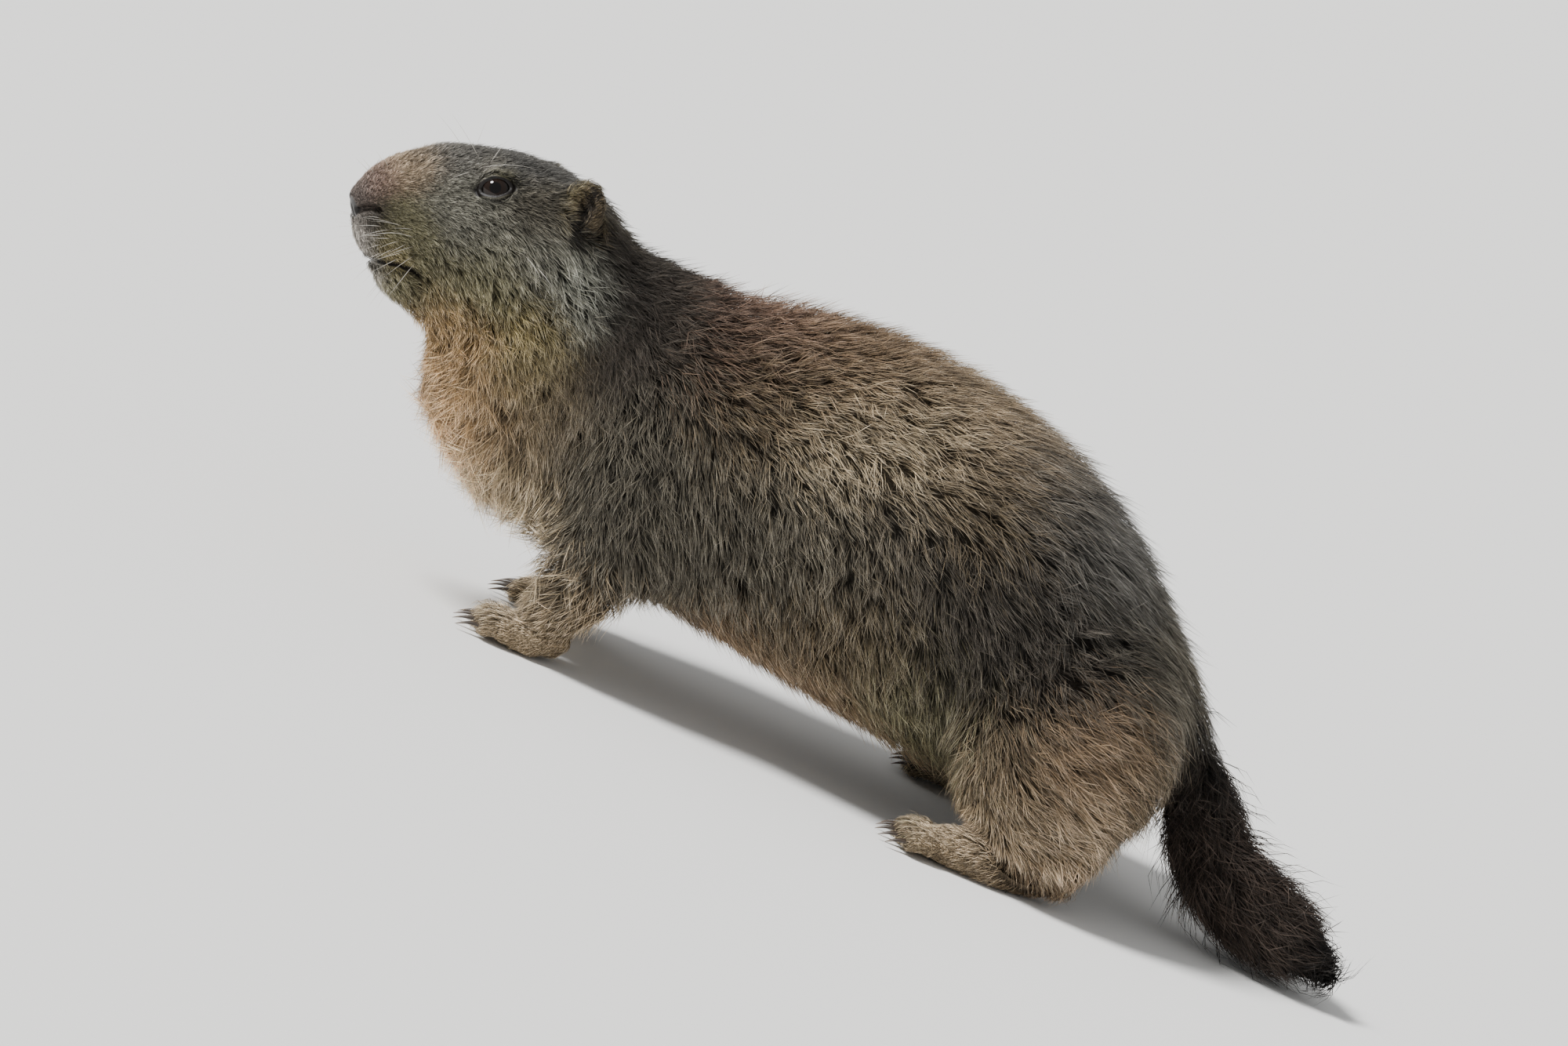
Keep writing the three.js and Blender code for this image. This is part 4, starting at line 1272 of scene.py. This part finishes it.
class Nodes:
    """Short ways to add nodes to a tree and join them."""

    def __init__(self, tree):
        self.tree = tree

    def feed(self, socket, value):
        """Links a socket to another one, or sets its value."""
        if isinstance(value, bpy.types.NodeSocket):
            self.tree.links.new(value, socket)
        else:
            socket.default_value = value

    def add(self, kind, inputs=None, **settings):
        node = self.tree.nodes.new(kind)
        for key, value in settings.items():
            setattr(node, key, value)
        for key, value in (inputs or {}).items():
            self.feed(node.inputs[key], value)
        return node

    def first(self, kind, inputs, **settings):
        """Adds a node and gives its first output."""
        return self.add(kind, inputs, **settings).outputs[0]

    def math(self, operation, *values):
        return self.first("ShaderNodeMath", dict(enumerate(values)), operation=operation)

    def between(self, value, low, high, to_low=0.0, to_high=1.0):
        """A smooth step of value from low to high."""
        sockets = {"Value": value, "From Min": low, "From Max": high, "To Min": to_low, "To Max": to_high}
        return self.add("ShaderNodeMapRange", sockets, interpolation_type="SMOOTHSTEP").outputs["Result"]

    def mix(self, share, a, b):
        return self.add("ShaderNodeMix", {0: share, 6: a, 7: b}, data_type="RGBA").outputs[2]

    def attribute(self, name, output="Fac"):
        return self.add("ShaderNodeAttribute", attribute_name=name).outputs[output]

    def place(self):
        return self.add("ShaderNodeTexCoord").outputs["Object"]

    def noise(self, place, scale, detail):
        sockets = {"Vector": place, "Scale": scale, "Detail": detail}
        return self.add("ShaderNodeTexNoise", sockets).outputs["Fac"]

    def bump(self, height, strength, distance):
        sockets = {"Height": height, "Strength": strength, "Distance": distance}
        return self.add("ShaderNodeBump", sockets).outputs["Normal"]


def add_socket(group, name, kind, value=None, in_out="INPUT"):
    socket = group.interface.new_socket(name, in_out=in_out, socket_type="NodeSocket" + kind)
    if value is not None:
        socket.default_value = value


def grizzle_group():
    """The colour of a grizzled hair: dark at its root, partly its own colour and partly painted shade deep in
    the coat, tinted above it, with a pale or dark tip.
    """
    group = bpy.data.node_groups.new("grizzle", "ShaderNodeTree")
    add_socket(group, "Tint", "Color")
    for name, value in GRIZZLE.items():
        add_socket(group, name, "Float", value)
    add_socket(group, "Color", "Color", in_out="OUTPUT")
    made = Nodes(group)
    given = made.add("NodeGroupInput").outputs
    along, chance = given["Along"], given["Chance"]
    shade = made.between(along, *HAIR_SHADE, given["Root"], 1.0)
    pale = made.between(along, *HAIR_PALE)
    other = made.math("FRACT", made.math("MULTIPLY", chance, SECOND_CHANCE))
    bright = made.math("MULTIPLY_ADD", other, *BRIGHTNESS)
    tip_value = made.math("MULTIPLY_ADD", pale, made.math("SUBTRACT", given["Tip"], 1.0), 1.0)
    has_dark_tip = made.math("LESS_THAN", chance, given["Dark tips"])
    dark = made.math("MULTIPLY", has_dark_tip, made.between(along, *HAIR_DARK))
    value = made.math("MULTIPLY", made.math("MULTIPLY", shade, bright), tip_value)
    value = made.math("MULTIPLY", value, made.math("MULTIPLY_ADD", dark, DARK_TIP, 1.0))
    value = made.math("MULTIPLY", value, made.math("MULTIPLY_ADD", given["Guard"], *GUARD_BRIGHTNESS))
    grey = made.first("ShaderNodeRGBToBW", {"Color": given["Tint"]})
    faded = made.mix(made.math("MULTIPLY", pale, TIP_FADING), given["Tint"], grey)
    coloured = made.first("ShaderNodeVectorMath", {0: faded, "Scale": value}, operation="SCALE")
    made.add("NodeGroupOutput", {"Color": coloured})
    return group


def shader_material(name):
    """A material by its row in SHADERS, with its nodes and its shader's inputs."""
    material = bpy.data.materials.new(name)
    material.use_nodes = True
    sockets = material.node_tree.nodes["Principled BSDF"].inputs
    sockets["Roughness"].default_value, sockets["Specular IOR Level"].default_value = SHADERS[name]
    return material, Nodes(material.node_tree), sockets


def coat_material(grizzle):
    material, made, shader = shader_material("coat")
    given = {key: made.attribute(key.lower()) for key in ("Along", "Chance", "Guard")}
    given["Tint"] = made.attribute("tint", "Color")
    hair = made.add("ShaderNodeGroup", node_tree=grizzle)
    for key, value in given.items():
        made.feed(hair.inputs[key], value)
    made.feed(shader["Base Color"], hair.outputs["Color"])
    return material


def skin_material(grizzle):
    """Short fur seen between the tufts: the coat's colours in fine streaks, with bump."""
    material, made, shader = shader_material("skin")
    place, tint = made.place(), made.attribute("tint", "Color")
    short, bare_share = made.attribute("short"), made.attribute("bare")
    fine = made.noise(place, *FINE_NOISE)
    coarse = made.noise(place, *COARSE_NOISE)
    # Under long fur the skin shows only the hairs' dark roots, partly painted shade between the tufts.
    low = made.math("MULTIPLY", short, STREAK_SHARE)
    high = made.math("MULTIPLY_ADD", short, STREAK_SHARE, STREAK_SHARE)
    hair = made.add("ShaderNodeGroup", node_tree=grizzle)
    made.feed(hair.inputs["Tint"], tint)
    made.feed(hair.inputs["Along"], made.between(fine, *STREAKS, low, high))
    made.feed(hair.inputs["Chance"], coarse)
    made.feed(shader["Base Color"], made.mix(bare_share, hair.outputs["Color"], tint))
    roughness = made.math("MULTIPLY_ADD", bare_share, BARE_ROUGHNESS, SHADERS["skin"][0])
    made.feed(shader["Roughness"], roughness)
    made.feed(shader["Normal"], made.bump(fine, *SKIN_BUMP))
    return material


def eye_material():
    """A dark wet eye with a brown iris round its pupil, by how far a point is from where the eye looks."""
    material, made, shader = shader_material("eye")
    shader["Coat Weight"].default_value = EYE_COAT
    shader["Coat Roughness"].default_value = EYE_COAT_ROUGHNESS
    gaze = made.attribute("gaze")
    iris = made.mix(made.between(gaze, *PUPIL_EDGE), paint("pupil"), paint("iris"))
    made.feed(shader["Base Color"], made.mix(made.between(gaze, *IRIS_EDGE), iris, paint("eye rim")))
    return material


def horn_material():
    """Claw horn: dark with fine lengthwise streaks and a paler tip."""
    material, made, shader = shader_material("horn")
    streaks = made.add("ShaderNodeMapping", {"Vector": made.place(), "Scale": HORN_STRETCH}).outputs["Vector"]
    noise = made.noise(streaks, *HORN_NOISE)
    colour = made.mix(noise, paint("horn"), paint("horn streak"))
    tip = made.between(made.attribute("along"), *HORN_TIP)
    made.feed(shader["Base Color"], made.mix(tip, colour, paint("horn tip")))
    made.feed(shader["Normal"], made.bump(noise, *HORN_BUMP))
    return material


def whisker_material():
    """Whiskers: pale, darker towards the root."""
    material, made, shader = shader_material("whisker")
    share = made.between(made.attribute("along"), *WHISKER_ROOT)
    made.feed(shader["Base Color"], made.mix(share, paint("whisker root"), paint("whisker")))
    return material


# Eyes, claws and whiskers


def eye_facing(side):
    """The way an eye looks, in the body frame."""
    return unit(sided(EYE_FACES, side)) @ HEAD_AXES


def make_eyes(material):
    """Both eyeballs, round and smooth, in one piece."""
    middles = {side: from_head(sided(EYE_AT, side)) for side in SIDES.values()}
    size = {"u_segments": EYE_SEGMENTS, "v_segments": EYE_RINGS, "radius": EYE_RADIUS * MM}
    work = bmesh.new()
    for side, middle in middles.items():
        turn = Vector(eye_facing(side)).to_track_quat("Z", "Y").to_matrix().to_4x4()
        bmesh.ops.create_uvsphere(work, **size, matrix=Matrix.Translation(middle) @ turn)
    mesh = bpy.data.meshes.new("eyes")
    work.to_mesh(mesh)
    work.free()
    points = points_of(mesh)
    gaze = np.zeros(len(points))
    for side, middle in middles.items():
        own = to_head(points)[:, 1] * side > 0
        gaze[own] = np.arccos(np.clip(unit(points[own] - middle) @ eye_facing(side), -1, 1))
    store(mesh, gaze=gaze)
    mesh.shade_smooth()
    mesh.materials.append(material)
    piece = linked("eyes", mesh)
    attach(piece, BODY)
    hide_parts(*EYES)


def strand_tree():
    """Geometry Nodes that turn lines of points with a thickness attribute into tapered tubes."""
    tree = bpy.data.node_groups.new("strands", "GeometryNodeTree")
    for name, kind, value in (("Geometry", "Geometry", None), ("Sides", "Int", 6), ("Steps", "Int", 12)):
        add_socket(tree, name, kind, value)
    add_socket(tree, "Flatness", "Float", 1.0)
    add_socket(tree, "Material", "Material")
    add_socket(tree, "Geometry", "Geometry", in_out="OUTPUT")
    made = Nodes(tree)
    given = made.add("NodeGroupInput").outputs
    line = made.first("GeometryNodeMeshToCurve", {"Mesh": given["Geometry"]})
    line = made.first("GeometryNodeCurveSplineType", {"Curve": line}, spline_type="CATMULL_ROM")
    line = made.first("GeometryNodeResampleCurve", {"Curve": line, "Count": given["Steps"]})
    along = made.add("GeometryNodeSplineParameter").outputs["Factor"]
    kept = {"Geometry": line, "Name": "along", "Value": along}
    line = made.first("GeometryNodeStoreNamedAttribute", kept, data_type="FLOAT", domain="POINT")
    thick = made.first("GeometryNodeInputNamedAttribute", {"Name": "thick"}, data_type="FLOAT")
    ring = made.first("GeometryNodeCurvePrimitiveCircle", {"Resolution": given["Sides"], "Radius": 1.0})
    size = made.first("ShaderNodeCombineXYZ", {0: 1.0, 1: given["Flatness"], 2: 1.0})
    ring = made.first("GeometryNodeTransform", {"Geometry": ring, "Scale": size})
    sweep = {"Curve": line, "Profile Curve": ring, "Scale": thick, "Fill Caps": True}
    tube = made.first("GeometryNodeCurveToMesh", sweep)
    tube = made.first("GeometryNodeSetShadeSmooth", {"Geometry": tube})
    tube = made.first("GeometryNodeRealizeInstances", {"Geometry": tube})
    tube = made.first("GeometryNodeSetMaterial", {"Geometry": tube, "Material": given["Material"]})
    made.add("NodeGroupOutput", {"Geometry": tube})
    return tree


def strands(name, lines, tree, **inputs):
    """An object of tubes along lines, each a list of (point in metres, thickness in metres)."""
    source = bpy.data.meshes.new(name + "_lines")
    corners, edges, thick = [], [], []
    for line in lines:
        base = len(corners)
        corners += [tuple(point) for point, _ in line]
        thick += [size for _, size in line]
        edges += [(base + i, base + i + 1) for i in range(len(line) - 1)]
    source.from_pydata(corners, edges, [])
    store(source, thick=thick)
    holder = linked(name + "_lines", source)
    modifier = holder.modifiers.new("strands", "NODES")
    modifier.node_group = tree
    sockets = {item.name: item.identifier for item in tree.interface.items_tree if item.in_out == "INPUT"}
    for key, value in inputs.items():
        modifier[sockets[key]] = value
    mesh = evaluated(holder)
    mesh.name = name
    holder.modifiers.remove(modifier)
    dropped(holder)
    return linked(name, mesh)


def claw_foot(name):
    _, end, side, _ = name.split("_")
    return f"{'forefoot' if end == 'fore' else 'hind_foot'}_{side}"


def claw_line(name):
    """A claw's middle line from the frame's node: from its root, over its curved back, to its point."""
    points = points_of(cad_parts[name].data)
    far = points @ unit((points.mean(0) - middle_of(claw_foot(name))) * (1, 1, 0))
    root = points[far < far.min() + CLAW_LENGTH * CLAW_ROOT].mean(0)
    tip = points[far.argmax()]
    arch = UP * CLAW_ARCH * np.linalg.norm(tip - root)
    root = root - (tip - root) * CLAW_SUNK
    line = []
    for share in CLAW_SHARES:
        point = root + (tip - root) * share + arch * math.sin(math.pi * share)
        line.append((point, CLAW_RADIUS * (1 - share**CLAW_TAPER) + CLAW_POINT))
    return line


def make_claws(tree, material):
    lines = [claw_line(name) for name in CLAWS]
    piece = strands("claws", lines, tree, Sides=10, Steps=10, Flatness=0.72, Material=material)
    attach(piece, BODY)
    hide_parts(*CLAWS)


def hair_line(root, way, length, droop, thick):
    """A long hair in the head's frame: it starts along way and droops or lifts as it goes."""
    way = unit(way)
    line = []
    for share in HAIR_SHARES:
        point = np.array(root) + way * length * share + UP * droop * share**2
        line.append((from_head(point), thick * (HAIR_TAPER - share)))
    return line


def whisker(head, side, row, share, high, random):
    """One whisker, share of the way along its row. head is the skin in the head's frame."""
    at = np.array([WHISKER_FRONT - WHISKER_SPAN * share - row, 0, high - WHISKER_FALL * share])
    near = (np.abs(head[:, [0, 2]] - at[[0, 2]]) < WHISKER_NEAR).all(1)
    at[1] = side * (np.abs(head[near & (head[:, 1] * side > 0), 1]).max() - WHISKER_SUNK)
    forward, sideways = WHISKER_WAY + WHISKER_TURN * share
    way = np.array([forward, side * sideways, WHISKER_LIFT + WHISKER_FAN * (high - WHISKER_MIDDLE)])
    way += random.normal(0, WHISKER_SCATTER, 3)
    length = (WHISKER_LENGTH + WHISKER_GROWTH * share) * random.uniform(*WHISKER_RANGE)
    return hair_line(at, way, length, random.uniform(*WHISKER_DROOP), WHISKER_RADIUS)


def make_whiskers(tree, material, surface):
    """Whiskers of both lips, and the long hairs over the eyes and on nose, cheeks and chin."""
    random = np.random.default_rng(SEED)
    head = to_head(surface.points)
    lines = []
    for side in SIDES.values():
        for row, (count, high) in enumerate(WHISKER_ROWS):
            for number in range(count):
                lines.append(whisker(head, side, row, number / (count - 1), high, random))
        for place, way, length, droop in LONG_HAIRS:
            at = head[surface.nearest([Vector(from_head(sided(place, side)))])[0]]
            way = sided(way, side) + random.normal(0, LONG_HAIR_SCATTER, 3)
            length = length * random.uniform(*LONG_HAIR_RANGE)
            lines.append(hair_line(at, way, length, droop, LONG_HAIR_RADIUS))
    piece = strands("whiskers", lines, tree, Sides=5, Steps=14, Flatness=1.0, Material=material)
    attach(piece, BODY)


def make_animal():
    grizzle = grizzle_group()
    mesh = make_skin()
    paint_tint(mesh)
    mesh.shade_smooth()
    mesh.materials.clear()
    mesh.materials.append(skin_material(grizzle))
    skin = linked("skin", mesh)
    unwrap(skin)
    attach(skin, BODY)
    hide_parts(*FLESH, *EARS)
    surface = Surface(mesh)
    make_coat(surface, coat_material(grizzle))
    make_eyes(eye_material())
    tree = strand_tree()
    make_claws(tree, horn_material())
    make_whiskers(tree, whisker_material(), surface)


# Stage, light and camera


def make_stage():
    """A plain floor, a pale sky and one soft sun."""
    bpy.ops.mesh.primitive_plane_add(size=FLOOR_SIZE)
    floor = bpy.context.object
    floor.name = "studio_floor"
    material, made, shader = shader_material("studio_floor")
    made.feed(shader["Base Color"], paint("floor"))
    floor.data.materials.append(material)
    world = bpy.data.worlds.new("studio")
    world.use_nodes = True
    background = world.node_tree.nodes["Background"].inputs
    background["Color"].default_value = paint("sky")
    background["Strength"].default_value = SKY_STRENGTH
    bpy.context.scene.world = world
    sun = bpy.data.lights.new("key", "SUN")
    sun.energy = SUN_STRENGTH
    sun.angle = SUN_ANGLE
    key = linked("key", sun)
    key.rotation_euler = Vector(SUN_FROM).to_track_quat("Z", "Y").to_euler()


def make_camera():
    """The photo's view: from the animal's left and a little above, with a long lens, rolled to its slope."""
    back = Vector((0, math.cos(CAMERA_RISE), math.sin(CAMERA_RISE)))
    right = Vector((-1, 0, 0))
    above = back.cross(right)
    across = right * math.cos(CAMERA_ROLL) + above * math.sin(CAMERA_ROLL)
    upward = above * math.cos(CAMERA_ROLL) - right * math.sin(CAMERA_ROLL)
    shift_right = (PHOTO_SIZE[0] / 2 - ANCHOR_IN_PHOTO[0]) / PHOTO_SCALE
    shift_up = (ANCHOR_IN_PHOTO[1] - PHOTO_SIZE[1] / 2) / PHOTO_SCALE
    target = Vector(ANCHOR) + across * shift_right + upward * shift_up
    lens = bpy.data.cameras.new("camera")
    lens.lens = lens.sensor_width * CAMERA_DISTANCE * PHOTO_SCALE / PHOTO_SIZE[0]
    lens.clip_start, lens.clip_end = CAMERA_CLIP
    camera = linked("camera", lens)
    turn = Matrix((across, upward, back)).transposed().to_4x4()
    camera.matrix_world = Matrix.Translation(target + back * CAMERA_DISTANCE) @ turn
    bpy.context.scene.camera = camera


make_animal()
make_stage()
make_camera()
